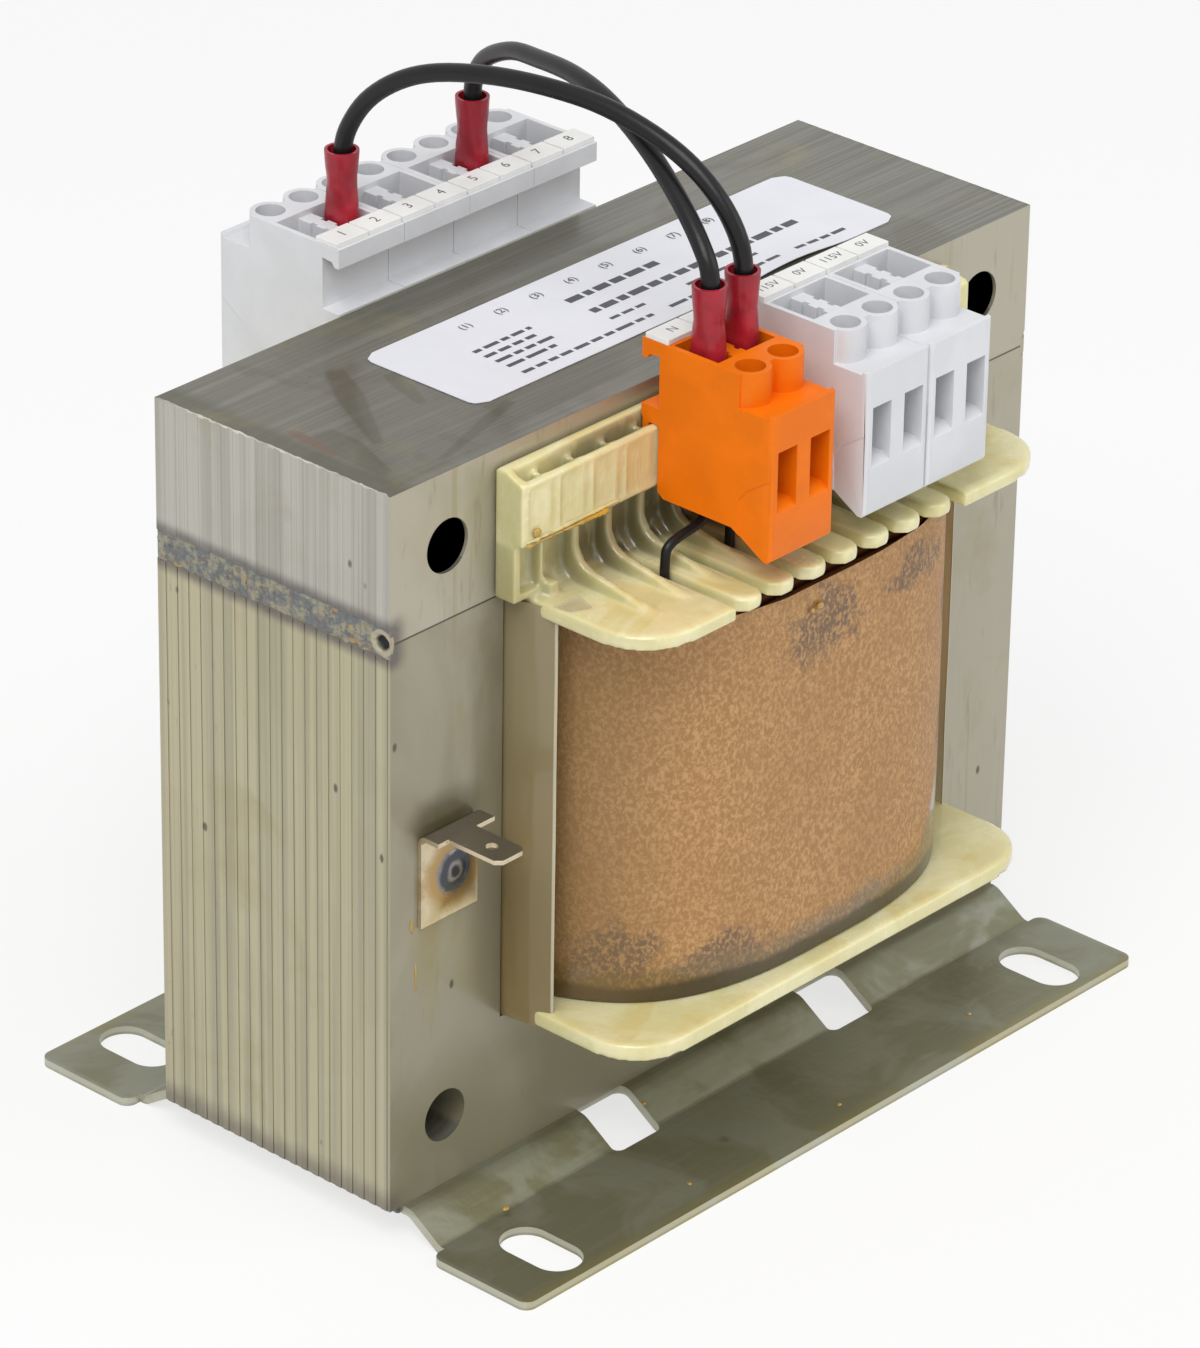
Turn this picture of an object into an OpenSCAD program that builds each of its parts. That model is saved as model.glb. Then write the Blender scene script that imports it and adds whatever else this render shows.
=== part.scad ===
// Single-phase chassis transformer: a welded EI lamination core on a pressed
// sheet base, with a one-chamber bobbin whose two comb rails carry clip-on
// screw and tab terminal blocks. X runs along the lamination width, Y through
// the stack, Z up. The origin is the centre of the four foot slots, on the
// face that the feet stand on.

/* [Core] */
// Width of a lamination
lam_w = 150; // [145:1:156]
// Width of the yokes and of the outer legs
yoke_w = 25; // [23:0.5:27]
// Width of the centre leg
centre_w = 50; // [48:0.5:52]
// Height of the two windows
window_h = 75; // [72:1:85]
// Thickness of the stack of laminations
stack_t = 50; // [44:1:60]
// Number of ridges that the sheets form on an edge of the stack
ridge_count = 20; // [10:1:24]
// How far every second bundle of sheets stands back
ridge_depth = 0.12; // [0.05:0.01:0.3]
// Bore of the four corner holes
bolt_hole_d = 9; // [5:0.5:11]
// Distance of the corner holes from the edges of the core
bolt_inset = 12.5; // [11:0.25:13.5]
// Depth of the weld grooves at the joint of E and I
groove_depth = 1.0; // [0.6:0.1:1.6]
// Radius of the weld grooves
groove_r = 4; // [3:0.25:6]
// How far the joint bead stays below the face of the core
bead_sink = 0.45; // [0.2:0.05:0.5]

/* [Base] */
// Thickness of the base sheet
sheet_t = 1.5; // [1:0.1:1.8]
// Height of the raised web above the feet
base_rise = 4.1; // [3.6:0.1:6]
// How far each end of the web and its slopes stands back from the core
web_inset = 3; // [2:0.5:6]
// How far the feet reach past each side of the core
foot_over = 0; // [-1:0.5:5]
// Reach of the feet in front of the core
foot_reach = 29.5; // [27:0.5:33]
// Angle of the slopes
slope_angle = 33; // [28:1:40]
// Inside radius of the bends
bend_r = 2; // [1.5:0.1:2.5]
// Radius of the corners of the feet
foot_corner_r = 2; // [1:0.25:4]
// Width of the foot slots
slot_w = 8.5; // [5:0.25:9]
// Length of the foot slots
slot_l = 15; // [11:0.5:16]
// Distance of the slots from the ends of the feet
slot_inset = 13.5; // [10:0.5:20]
// Distance of the slots from the front edge of the feet
slot_edge = 9.5; // [9:0.25:10.5]
// Width of the cut-outs in the slopes
cutout_w = 10.8; // [6:0.2:14]
// Distance between the two cut-outs of one slope
cutout_pitch = 52.8; // [40:1:70]
// Throat of the weld between base and core
weld_throat = 1.5; // [1:0.1:1.5]

/* [Earth tab] */
// Width of the welded lug
lug_w = 12.6; // [10:0.2:15]
// Height of the welded lug
lug_h = 16.4; // [14:0.2:20]
// Height of the lug above the bottom of the core
lug_z = 48.8; // [35:0.5:60]
// Distance of the lug from the side of the core
lug_inset = 6.2; // [5:0.1:8]
// Thickness of the lug
lug_t = 0.8; // [0.6:0.1:1]
// Depth of the shoulder before the tab
shoulder = 4.4; // [3.5:0.1:6]
// Width of the push-on tab
tab_w = 6.3; // [4.8:0.1:6.3]
// Length of the push-on tab
tab_l = 10.6; // [8:0.2:12]

/* [Bobbin] */
// Clearance between bobbin and core
fit = 0.4; // [0.3:0.05:0.6]
// Wall of the tube and of the lower flange
wall = 2; // [1.5:0.1:2.4]
// Thickness of the lower flange
flange_t = 2.8; // [2:0.1:3.4]
// Thickness of the upper flange and the comb fingers
comb_t = 2.4; // [1.8:0.1:3]
// Clearance of the flanges in the windows
flange_gap = 1.4; // [1.2:0.1:1.8]
// Reach of the flanges in front of the core
flange_reach = 28.5; // [27:0.5:31]
// Radius of the corners of the flanges
flange_r = 10; // [6:0.5:12]
// Pitch of the comb, the cells and the poles
pitch = 7.5; // [7.2:0.1:7.6]
// Width of the slots between the fingers
comb_gap = 1.7; // [1.2:0.1:2.4]
// Radius of the fillet at the root of the fingers
comb_r = 4; // [1:0.25:4]
// Thickness of the ribs that brace the fingers
rib_t = 1.7; // [1.2:0.1:2.2]
// Radius at the foot of the ribs
rib_r = 4; // [3:0.25:4.5]
// Reach in front of the core at which the ribs run out
rib_reach = 22; // [19:0.5:24]
// Slope of the ribs along the fingers
rib_slope = 10; // [6:1:12]
// Number of free fingers in a comb
finger_count = 7; // [3:1:7]
// How far a terminal rail reaches past the windows of the core
rail_over = 2.5; // [1.5:0.25:5]
// Width of the open cell at the first end of a rail
end_cell = 6.25; // [5:0.25:7]
// Height of the wall of a terminal rail above the joint of the core
rail_h = 22.3; // [20:0.1:24]
// Depth of a terminal rail in front of the core
rail_d = 6; // [5.6:0.1:6.4]
// Height of the panel of a terminal rail
panel_h = 10.7; // [9:0.1:12]
// Thickness of the panel
panel_t = 1.5; // [1.2:0.1:1.8]
// Bottom of the panel above the joint of the core
panel_z = 10; // [9.4:0.1:11]
// Depth of the shallow pockets in the face of the panel
pocket_depth = 0.25; // [0.1:0.05:0.5]
// Thickness of the cell dividers
divider_t = 1; // [0.7:0.1:1.5]

/* [Winding] */
// Gap between the winding and the outer legs
coil_clear = 3.5; // [3:0.25:6]
// How far the flanges reach past the winding
flange_margin = 5.9; // [4.5:0.1:8]
// Gap between the winding and the upper flange
coil_gap = 3.1; // [2:0.1:5]
// Radius of the corners of the winding
coil_r = 18; // [12:0.5:20]
// Build of the inner winding
primary_build = 9.5; // [7:0.25:10]
// Insulation between the windings
barrier_t = 1; // [0.5:0.1:1.5]
// Thickness of the outer wrap
wrap_t = 0.6; // [0.4:0.1:1]
// Thickness of the clear liners in the windows
liner_t = 0.4; // [0.25:0.05:0.5]
// Reach of the clear liners in front of the core
liner_reach = 9; // [6:0.5:12]
// Diameter of the insulated lead-outs
leadout_d = 1.6; // [1:0.1:1.6]

/* [Terminal blocks] */
// Height of the top of a block above the joint of the core
block_top = 34.7; // [34:0.1:37]
// Height of a block from its front corner to its top
block_h = 29.9; // [28:0.1:31]
// Reach of the blocks in front of the core
block_reach = 29.4; // [28.6:0.1:31]
// Reach of the upper step of the blocks
step_reach = 22.4; // [21.5:0.1:23]
// Height of the step below the top of the block
step_drop = 5.7; // [4.5:0.1:7]
// Gap between neighbouring blocks
block_gap = 0.1; // [0.05:0.05:0.4]
// Diameter of the screw towers
tower_d = 6.6; // [6.2:0.1:6.8]
// Bore of the screw towers
tower_bore = 4.8; // [4.5:0.1:5]
// Width of the wire entries
entry_w = 4.4; // [4.2:0.1:4.8]
// Height of the wire entries
entry_h = 9.2; // [8:0.1:9.6]
// Width of the web between the two tab wells of a block
well_web = 3; // [2.4:0.1:3.2]
// Depth of the tab wells
well_h = 14; // [12.5:0.5:15]
// Width of the clamp cages
cage_w = 5.6; // [5.2:0.1:5.7]
// Depth of the clamp cages
cage_d = 5.4; // [5:0.1:5.6]
// Diameter of the clamp screws
screw_d = 2.5; // [2:0.1:3]
// Width of the contact blades
blade_w = 3.4; // [2.8:0.1:3.6]
// Thickness of the contacts
contact_t = 0.8; // [0.5:0.1:0.8]
// Centre of the two-pole block on the front rail that stands alone
lone_x = -14.8; // [-18:0.1:-13]
// Centre of the first block of the front pair
pair_x = 7.3; // [6:0.1:10]
// Centre of the first block on the rear rail
rear_x = -24.4; // [-27:0.1:-22]
// Length of a marker tag across the rail
tag_l = 4.7; // [4:0.1:4.8]
// Thickness of a marker tag
tag_t = 0.9; // [0.6:0.1:1.4]

/* [Jumper leads] */
// Diameter of the leads
lead_d = 3; // [2.4:0.1:3.2]
// Diameter of the round top of the sleeves
sleeve_d = 5.7; // [5:0.1:6.2]
// Height of the sleeves above the top of the blocks
sleeve_rise = 10.8; // [9:0.1:13]
// Wall of the sleeves
sleeve_t = 0.5; // [0.4:0.05:0.55]

/* [Rating label] */
// Length of the label
label_w = 99; // [60:1:104]
// Width of the label
label_d = 25; // [18:0.5:27]
// Thickness of the label
label_t = 0.15; // [0.1:0.05:0.4]
// Offset of the label along the core
label_x = 6.4; // [0:0.1:10]

/* [Hidden] */
eps = 0.01;
round_fn = 48;

// Core levels and faces
core_z = sheet_t + base_rise;
joint_z = core_z + yoke_w + window_h;
core_top = joint_z + yoke_w;
face_y = stack_t / 2;
window_w = (lam_w - centre_w) / 2 - yoke_w;
leg_x = centre_w / 2 + window_w;
ridge_pitch = stack_t / ridge_count;

// Base plan
web_w = lam_w - 2 * web_inset;
foot_w = lam_w + 2 * foot_over;
foot_y = face_y + foot_reach;
slot_pitch_x = foot_w - 2 * slot_inset;
slot_pitch_y = 2 * (foot_y - slot_edge);

// Bobbin levels and outline
bobbin_z0 = core_z + yoke_w + fit;
bobbin_z1 = joint_z - fit / 2;
tube_x = centre_w / 2 + fit;
tube_y = face_y + fit;
flange_x = leg_x - flange_gap;
flange_y = face_y + flange_reach;
comb_z = bobbin_z1 - comb_t;
web_t = 2;
web_y0 = face_y + fit;
web_y1 = web_y0 + web_t;
web_top = bobbin_z1 + comb_r;
panel_z0 = joint_z + panel_z;
panel_z1 = panel_z0 + panel_h;
rail_top = joint_z + rail_h;
rail_floor = bobbin_z1 + 0.4;
rail_y = face_y + rail_d;
rail_half = leg_x + rail_over;
rail_end_t = 1.5;
first_divider = end_cell - rail_half;
divider_count = 1 + floor((2 * rail_half - end_cell - rail_end_t - divider_t) / pitch);
last_divider = first_divider + (divider_count - 1) * pitch;
lobe_ribs = 2;
first_finger = first_divider + (lobe_ribs + 1) * pitch;
finger_w = pitch - comb_gap;
first_slot = first_finger - pitch / 2;
lobe_left = first_slot - comb_gap / 2;
lobe_right = first_slot + finger_count * pitch + comb_gap / 2;

// Winding levels and half sizes
coil_z0 = bobbin_z0 + flange_t + 0.3;
coil_z1 = comb_z - coil_gap;
inner_x = tube_x + wall;
inner_y = tube_y + wall;
outer_x = leg_x - coil_clear;
outer_y = flange_y - flange_margin;

// Terminal block levels, as reach from the face of the core and as height
block_w = 2 * pitch - block_gap;
top_z = joint_z + block_top;
shelf_z = top_z - step_drop;
foot_z = top_z - block_h;
lip_reach = 2.7;
back_reach = rail_d + 0.3;
pole_x = pitch / 2;
well_y0 = 8.4;
well_y1 = 17.4;
well_x = block_w / 2 - 0.9;
tower_reach = step_reach - 1;
entry_z = shelf_z - 5.7 - entry_h;
entry_top = entry_z + entry_h;
cage_fit = 0.1;
cage_floor = 0.7;
cage_roof = 1.1;
cage_y0 = tower_reach + 0.1 - cage_d / 2;
cage_y1 = cage_y0 + cage_d;
contact_reach = (well_y0 + well_y1) / 2;
arm_z = entry_z + 0.5;
arm_h = 1.2;
head_h = 2.4;
drive_w = 0.8;
drive_h = 1;
blade_z = top_z - 5.2;
tail_z = foot_z + 2.2;
front_blocks = [lone_x, pair_x, pair_x + 2 * pitch];
rear_blocks = [rear_x, rear_x + 2 * pitch, rear_x + 4 * pitch, rear_x + 6 * pitch];

// Jumper routes: share of the way from rear pole to front pole, share of the
// distance of the poles from the middle of the core, height above the blocks
lead_bottom = 4.6;
receptacle_h = 9.9;
receptacle_w = 4.3;
receptacle_t = 1.7;
receptacle_drop = 0.6;
shape_a = [
    [0, 1, 4.6], [0, 1, 9], [0.02, 0.97, 14.3], [0.07, 0.87, 20.3], [0.15, 0.71, 25.2],
    [0.25, 0.51, 28.5], [0.38, 0.22, 30.8], [0.53, -0.07, 31.5], [0.66, -0.33, 30.9],
    [0.79, -0.6, 28.2], [0.89, -0.79, 24.3], [0.96, -0.93, 18.9], [1, -1, 12.7], [1, -1, 4.6]
];
shape_b = [
    [0, 1, 4.6], [0, 1, 8.5], [0, 0.99, 13.7], [0.06, 0.88, 19.1], [0.17, 0.66, 23.7],
    [0.29, 0.43, 25.9], [0.42, 0.16, 27.7], [0.55, -0.09, 28.1], [0.66, -0.32, 26.7],
    [0.77, -0.54, 24.1], [0.88, -0.76, 20.3], [0.97, -0.93, 16.1], [1, -1, 12], [1, -1, 4.6]
];
rear_pole_a = rear_x + pole_x;
rear_pole_b = rear_x + 4 * pitch + pole_x;
front_pole_a = lone_x + pole_x;
front_pole_b = lone_x - pole_x;

grey = [0.86, 0.87, 0.89];
orange = [0.95, 0.48, 0.05];

// ---- shared shapes ----

function arc(c, r, a0, a1, n) =
    [for (i = [0:n]) let (a = a0 + (a1 - a0) * i / n) [c[0] + r * cos(a), c[1] + r * sin(a)]];

// Rectangle with round corners, centred on the origin
module round_rect(x, y, r) {
    cx = x / 2 - r;
    cy = y / 2 - r;
    polygon(concat(
        arc([cx, cy], r, 0, 90, 10), arc([-cx, cy], r, 90, 180, 10),
        arc([-cx, -cy], r, 180, 270, 10), arc([cx, -cy], r, 270, 360, 10)));
}

// Box between two opposite corners
module span(a, b) {
    translate([min(a[0], b[0]), min(a[1], b[1]), min(a[2], b[2])])
        cube([abs(b[0] - a[0]), abs(b[1] - a[1]), abs(b[2] - a[2])]);
}

// Outline drawn in Y and Z, extruded along X
module along_x(x0, x1) {
    translate([x0, 0, 0]) rotate([90, 0, 90]) linear_extrude(x1 - x0) children();
}

// Cylinder along Y through the core
module bore_y(x, z, r, length) {
    translate([x, 0, z]) rotate([90, 0, 0])
        cylinder(h = length, r = r, center = true, $fn = round_fn);
}

// Closed solid through rings of points
module skin(rings) {
    n = len(rings[0]);
    m = len(rings);
    points = [for (ring = rings) for (p = ring) p];
    sides = [for (j = [0:m - 2]) for (i = [0:n - 1]) for (half = [0, 1])
        let (k = (i + 1) % n, a = j * n + i, c = (j + 1) * n + k)
        half == 0 ? [a, a + n, c] : [a, c, j * n + k]];
    first = [for (i = [0:n - 1]) i];
    last = [for (i = [n - 1:-1:0]) (m - 1) * n + i];
    polyhedron(points, concat([first], sides, [last]), convexity = 6);
}

function unit(v) = v / norm(v);

function direction(pts, i) = unit(pts[min(i + 1, len(pts) - 1)] - pts[max(i - 1, 0)]);

// Round wire along a route that stays square to ref or near it
module sweep(pts, d, sides, ref) {
    skin([for (i = [0:len(pts) - 1])
        let (t = direction(pts, i), u = unit(cross(t, ref)), v = cross(t, u))
        [for (k = [0:sides - 1]) let (a = 360 * k / sides)
            pts[i] + d / 2 * (cos(a) * u + sin(a) * v)]]);
}

// ---- core ----

// Ridges of the sheet edges on a side of the core
module side_ridges(z0, z1) {
    root = 0.4;
    for (i = [0:ridge_count - 1]) for (side = [-1, 1])
        translate([side * (lam_w / 2 - root / 2), -face_y + (i + 0.25) * ridge_pitch, (z0 + z1) / 2])
            translate([-root / 2, 0, (z0 - z1) / 2]) cube([root, ridge_pitch / 2, z1 - z0]);
}

module corner_bores(z) {
    for (side = [-1, 1])
        bore_y(side * (lam_w / 2 - bolt_inset), z, bolt_hole_d / 2, stack_t + 2);
}

module joint_grooves() {
    for (side = [-1, 1])
        bore_y(side * (lam_w / 2 + groove_r - groove_depth), joint_z, groove_r, stack_t + 2);
}

module e_stack() {
    edge = lam_w / 2 - ridge_depth;
    color([0.55, 0.53, 0.46]) difference() {
        union() {
            span([-edge, -face_y, core_z], [edge, face_y, joint_z]);
            side_ridges(core_z, joint_z);
        }
        for (side = [-1, 1])
            span([side * centre_w / 2, -face_y - 1, core_z + yoke_w],
                [side * (centre_w / 2 + window_w), face_y + 1, joint_z + 1]);
        corner_bores(core_z + bolt_inset);
        joint_grooves();
    }
}

module i_yoke() {
    edge = lam_w / 2 - ridge_depth;
    color([0.48, 0.46, 0.40]) difference() {
        union() {
            span([-edge, -face_y, joint_z], [edge, face_y, core_top - ridge_depth]);
            side_ridges(joint_z, core_top);
            for (i = [0:ridge_count - 1]) translate([0, -face_y + (i + 0.25) * ridge_pitch, 0])
                span([-lam_w / 2, 0, core_top - 0.4], [lam_w / 2, ridge_pitch / 2, core_top]);
        }
        corner_bores(core_top - bolt_inset);
        joint_grooves();
    }
}

// Bead that lies on the floor of a joint groove
module joint_weld(side) {
    axis_x = lam_w / 2 + groove_r - groove_depth;
    crown_x = lam_w / 2 - bead_sink;
    half = 0.95 * sqrt(pow(groove_r, 2) - pow(axis_x - crown_x, 2));
    edge_x = axis_x - sqrt(pow(groove_r, 2) - pow(half, 2));
    heights = [for (i = [-5:5]) half * i / 5];
    color([0.35, 0.36, 0.42]) translate([0, face_y, joint_z]) rotate([90, 0, 0])
        linear_extrude(stack_t) polygon(concat(
            [for (h = heights) [side * (axis_x - sqrt(pow(groove_r, 2) - h * h)), h]],
            [for (i = [9:-1:1]) let (h = heights[i])
                [side * (crown_x - (crown_x - edge_x) * pow(h / half, 2)), h]]));
}

// ---- base ----

// Upper and lower line of the base section from its middle out to one foot
function base_lines() = let (
        outer_r = bend_r + sheet_t, a = slope_angle, y0 = face_y + 0.8,
        run = (base_rise - (outer_r + bend_r) * (1 - cos(a))) / tan(a),
        y1 = y0 + (outer_r + bend_r) * sin(a) + run)
    concat(
        arc([y0, core_z - outer_r], outer_r, 90, 90 - a, 5),
        arc([y1, sheet_t + bend_r], bend_r, 270 - a, 270, 4),
        [[foot_y, sheet_t], [foot_y, 0]],
        arc([y1, outer_r], outer_r, 270, 270 - a, 5),
        arc([y0, base_rise - bend_r], bend_r, 90 - a, 90, 4));

module foot_slot() {
    straight = slot_l - slot_w;
    for (end = [-1, 1]) translate([0, end * straight / 2]) circle(d = slot_w, $fn = round_fn);
    square([slot_w, straight], center = true);
}

// Plan of the base: a narrow web between two wide feet
module base_plan() {
    ear_y = face_y + 9;
    difference() {
        union() {
            square([web_w, 2 * ear_y + 1], center = true);
            for (side = [-1, 1]) translate([0, side * (ear_y + foot_y) / 2])
                round_rect(foot_w, foot_y - ear_y, foot_corner_r);
        }
        for (x = [-1, 1]) for (y = [-1, 1]) {
            translate([x * slot_pitch_x / 2, y * slot_pitch_y / 2]) foot_slot();
            translate([x * cutout_pitch / 2, y * (ear_y - 4.7)]) round_rect(cutout_w, 10, 1.6);
        }
    }
}

module base_plate() {
    half = base_lines();
    reversed = [for (i = [len(half) - 1:-1:0]) half[i]];
    color([0.55, 0.54, 0.40]) intersection() {
        along_x(-foot_w / 2, foot_w / 2) polygon(concat(half, [for (p = reversed) [-p[0], p[1]]]));
        translate([0, 0, -1]) linear_extrude(core_z + 2) base_plan();
    }
}

// Fillet weld in the corner between an end of the web and the core
module base_weld(side) {
    throat = min(weld_throat, sheet_t, web_inset - 0.2);
    color([0.42, 0.42, 0.36]) intersection() {
        bore_y(side * web_w / 2, core_z, throat, stack_t - 1);
        span([side * web_w / 2, -face_y, core_z], [side * lam_w / 2, face_y, 0]);
    }
}

// ---- earth tab ----

module earth_tab() {
    x0 = -lam_w / 2 + lug_inset;
    z0 = core_z + lug_z;
    z1 = z0 + lug_h;
    bend = 1.6;
    tab_x = x0 + (lug_w - tab_w) / 2 - 1;
    tip_y = -face_y - shoulder - tab_l;
    color([0.78, 0.68, 0.48]) difference() {
        union() {
            along_x(x0, x0 + lug_w) polygon(concat(
                [[-face_y, z0]],
                arc([-face_y - bend, z1 - bend], bend, 0, 90, 8),
                [[-face_y - shoulder, z1], [-face_y - shoulder, z1 - lug_t]],
                arc([-face_y - bend, z1 - bend], bend - lug_t, 90, 0, 8),
                [[-face_y - lug_t, z0]]));
            translate([tab_x, tip_y, z1 - lug_t]) linear_extrude(lug_t) polygon([
                [0, tab_l + 0.5], [0, 1], [1, 0], [tab_w - 1, 0], [tab_w, 1], [tab_w, tab_l + 0.5]]);
            translate([x0 + 7.2, -face_y - lug_t + 0.1, z0 + 7.7]) rotate([90, 0, 0])
                cylinder(h = 0.4, d1 = 7.6, d2 = 6.4, $fn = round_fn);
        }
        translate([tab_x + tab_w / 2, tip_y + 4.4, z1 - lug_t - 1])
            cylinder(h = lug_t + 2, d = 2, $fn = round_fn);
    }
}

// ---- bobbin ----

// Section of the comb from the wall behind it to the tips of the fingers
module comb_section() {
    polygon(concat(
        [[web_y0 - eps, comb_z], [web_y0 - eps, web_top], [web_y1, web_top]],
        arc([web_y1 + comb_r, web_top], comb_r, 180, 270, 10),
        [[flange_y + 1, bobbin_z1], [flange_y + 1, comb_z]]));
}

// Round tips of the free fingers and round corners of the closed ends
module comb_plan() {
    r = finger_w / 2;
    for (i = [0:finger_count - 1]) translate([first_finger + i * pitch, 0]) {
        translate([-r, web_y0 - 1]) square([finger_w, flange_y - r - web_y0 + 1]);
        translate([0, flange_y - r]) circle(r = r, $fn = 32);
    }
    intersection() {
        round_rect(2 * flange_x, 2 * flange_y, flange_r);
        union() {
            translate([lobe_right, web_y0 - 1]) square([flange_x, flange_y]);
            translate([lobe_left - flange_x, web_y0 - 1]) square([flange_x, flange_y]);
        }
    }
}

// Rib at x that comes down the wall under the panel and runs out along a finger
module rib(x) {
    front = rail_y - panel_t + 0.3;
    turn_y = front + rib_r * (1 - sin(rib_slope));
    turn_z = bobbin_z1 + (face_y + rib_reach - turn_y) * tan(rib_slope);
    along_x(x - rib_t / 2, x + rib_t / 2) polygon(concat(
        [[web_y0, comb_z + 0.5], [web_y0, panel_z0 + 0.8], [front, panel_z0 + 0.8]],
        arc([front + rib_r, turn_z + rib_r * cos(rib_slope)], rib_r, 180, 270 - rib_slope, 10),
        [[face_y + rib_reach + 1, bobbin_z1 - tan(rib_slope)], [face_y + rib_reach + 1, comb_z + 0.5]]));
}

// Upright end of a rail with its floor, its post and the foot of the post
module rail_end(side) {
    x1 = side * rail_half;
    x2 = x1 - side * rail_end_t;
    post = side < 0 ? first_divider : last_divider;
    front = rail_y - panel_t;
    along_x(min(x1, x2), max(x1, x2)) polygon([
        [web_y0, rail_floor], [front, rail_floor], [front, panel_z0], [rail_y, panel_z0],
        [rail_y, panel_z1], [web_y1, rail_top], [web_y0, rail_top]]);
    span([post, web_y0, rail_floor], [x1, front, rail_floor + 1.2]);
    span([post - divider_t / 2, web_y0, rail_floor], [post + divider_t / 2, front, panel_z0 + 1]);
    span([post, web_y0, rail_floor], [post - side * 2.4, front + 1.6, rail_floor + 2]);
}

// Terminal rail: wall, panel in front of it, and the cells between them
module rail() {
    span([-rail_half, web_y0, rail_floor], [rail_half, web_y1, rail_top]);
    difference() {
        span([-rail_half, rail_y - panel_t, panel_z0], [rail_half, rail_y, panel_z1]);
        for (i = [0:divider_count - 1]) translate([i * pitch - rail_half + 1.2, 0, 0])
            span([0, rail_y - pocket_depth, panel_z0 + 1], [pitch - 0.5, rail_y + 1, panel_z1 - 1]);
    }
    for (i = [0:divider_count - 1]) translate([first_divider + i * pitch - divider_t / 2, 0, 0])
        span([0, web_y0, panel_z0], [divider_t, rail_y - eps, panel_z1 - 0.6]);
    for (side = [-1, 1]) rail_end(side);
}

// Everything that the bobbin carries past one face of the core
module bobbin_side() {
    intersection() {
        along_x(-flange_x, flange_x) comb_section();
        translate([0, 0, comb_z - 1]) linear_extrude(comb_r + comb_t + 3) comb_plan();
    }
    for (i = [1:divider_count - 2]) rib(first_divider + i * pitch);
    rail();
}

module bobbin() {
    color([0.85, 0.80, 0.58]) difference() {
        union() {
            translate([0, 0, bobbin_z0]) linear_extrude(flange_t)
                round_rect(2 * flange_x, 2 * flange_y, flange_r);
            translate([0, 0, bobbin_z0]) linear_extrude(bobbin_z1 - bobbin_z0)
                round_rect(2 * inner_x, 2 * inner_y, wall);
            span([-flange_x, -web_y0 - 1, comb_z], [flange_x, web_y0 + 1, bobbin_z1]);
            mirror([0, 1, 0]) bobbin_side();
            mirror([1, 0, 0]) bobbin_side();
        }
        span([-tube_x, -tube_y, bobbin_z0 - 1], [tube_x, tube_y, bobbin_z1 + 1]);
    }
}

// ---- winding ----

// Layers of the winding between two shares of its build, 0 at the tube
module coil_ring(from, to) {
    translate([0, 0, coil_z0]) linear_extrude(coil_z1 - coil_z0) difference() {
        coil_outline(to);
        coil_outline(from);
    }
}

module coil_outline(build) {
    share = build / (outer_y - inner_y);
    round_rect(2 * (inner_x + share * (outer_x - inner_x)), 2 * (inner_y + build),
        wall + share * (coil_r - wall));
}

primary_y = primary_build;
barrier_y = primary_y + barrier_t;
secondary_y = outer_y - inner_y - wrap_t;

// Clear sheet between an outer leg and the winding
module liner(side) {
    y = face_y + liner_reach;
    color([0.85, 0.82, 0.70, 0.5])
        span([side * leg_x, -y, bobbin_z0], [side * (leg_x - liner_t), y, bobbin_z1 - fit]);
}

// Comb slot that a pole takes its lead-out from
function slot_of(x, shift) =
    first_slot + pitch * max(0, min(finger_count, round((x - first_slot) / pitch) - shift));

// Insulated lead-outs from the winding to the blocks, drawn for the front
module leadouts(poles, lean) {
    y = -face_y - contact_reach;
    color([0.08, 0.08, 0.08]) for (i = [0:len(poles) - 1]) let (
        x = poles[i], s = slot_of(x, i == 0 ? lean : 0), dx = x - s)
        sweep([[s, y, coil_z1], [s, y, joint_z + 1.4], [s + 0.12 * dx, y, joint_z + 4.2],
            [x - 0.2 * dx, y, joint_z + 5.4], [x, y, tail_z - 0.6], [x, y, tail_z]],
            leadout_d, 8, [0, 1, 0]);
}

// ---- terminal blocks ----

// Side view of a block: the clip on the rail at the left, the front at the right
module block_section() {
    channel_y = rail_d - panel_t - 0.3;
    clip_y = fit + web_t + 0.3;
    polygon([
        [lip_reach, top_z], [lip_reach, top_z - 3.3], [lip_reach + 1, top_z - 3.3],
        [lip_reach + 1.5, top_z - 2.5], [back_reach, top_z - 2.3],
        [back_reach, panel_z1 + 2.9], [lip_reach, panel_z1 + 2.9],
        [lip_reach, panel_z1 + 1.2], [clip_y + 0.3, panel_z1 + 0.6],
        [clip_y + 0.3, panel_z1 - 2.6], [channel_y, panel_z1 - 2.6], [channel_y, panel_z1],
        [back_reach, panel_z1], [back_reach, foot_z + 4.8], [back_reach + 1.2, foot_z + 3.8],
        [block_reach - 7.9, foot_z + 3.8], [block_reach - 1.4, foot_z],
        [block_reach - 0.6, foot_z], [block_reach, foot_z + 0.8],
        [block_reach, shelf_z + 0.5], [block_reach - 1, shelf_z + 0.5],
        [block_reach - 1.4, shelf_z], [step_reach, shelf_z], [step_reach, top_z]
    ]);
}

// Plan of a block with its round front corners
module block_plan() {
    r = 0.9;
    x = block_w / 2;
    polygon(concat(
        [[-x, 0], [x, 0]],
        arc([x - r, block_reach - r], r, 0, 90, 5),
        arc([-x + r, block_reach - r], r, 90, 180, 5)));
}

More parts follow.
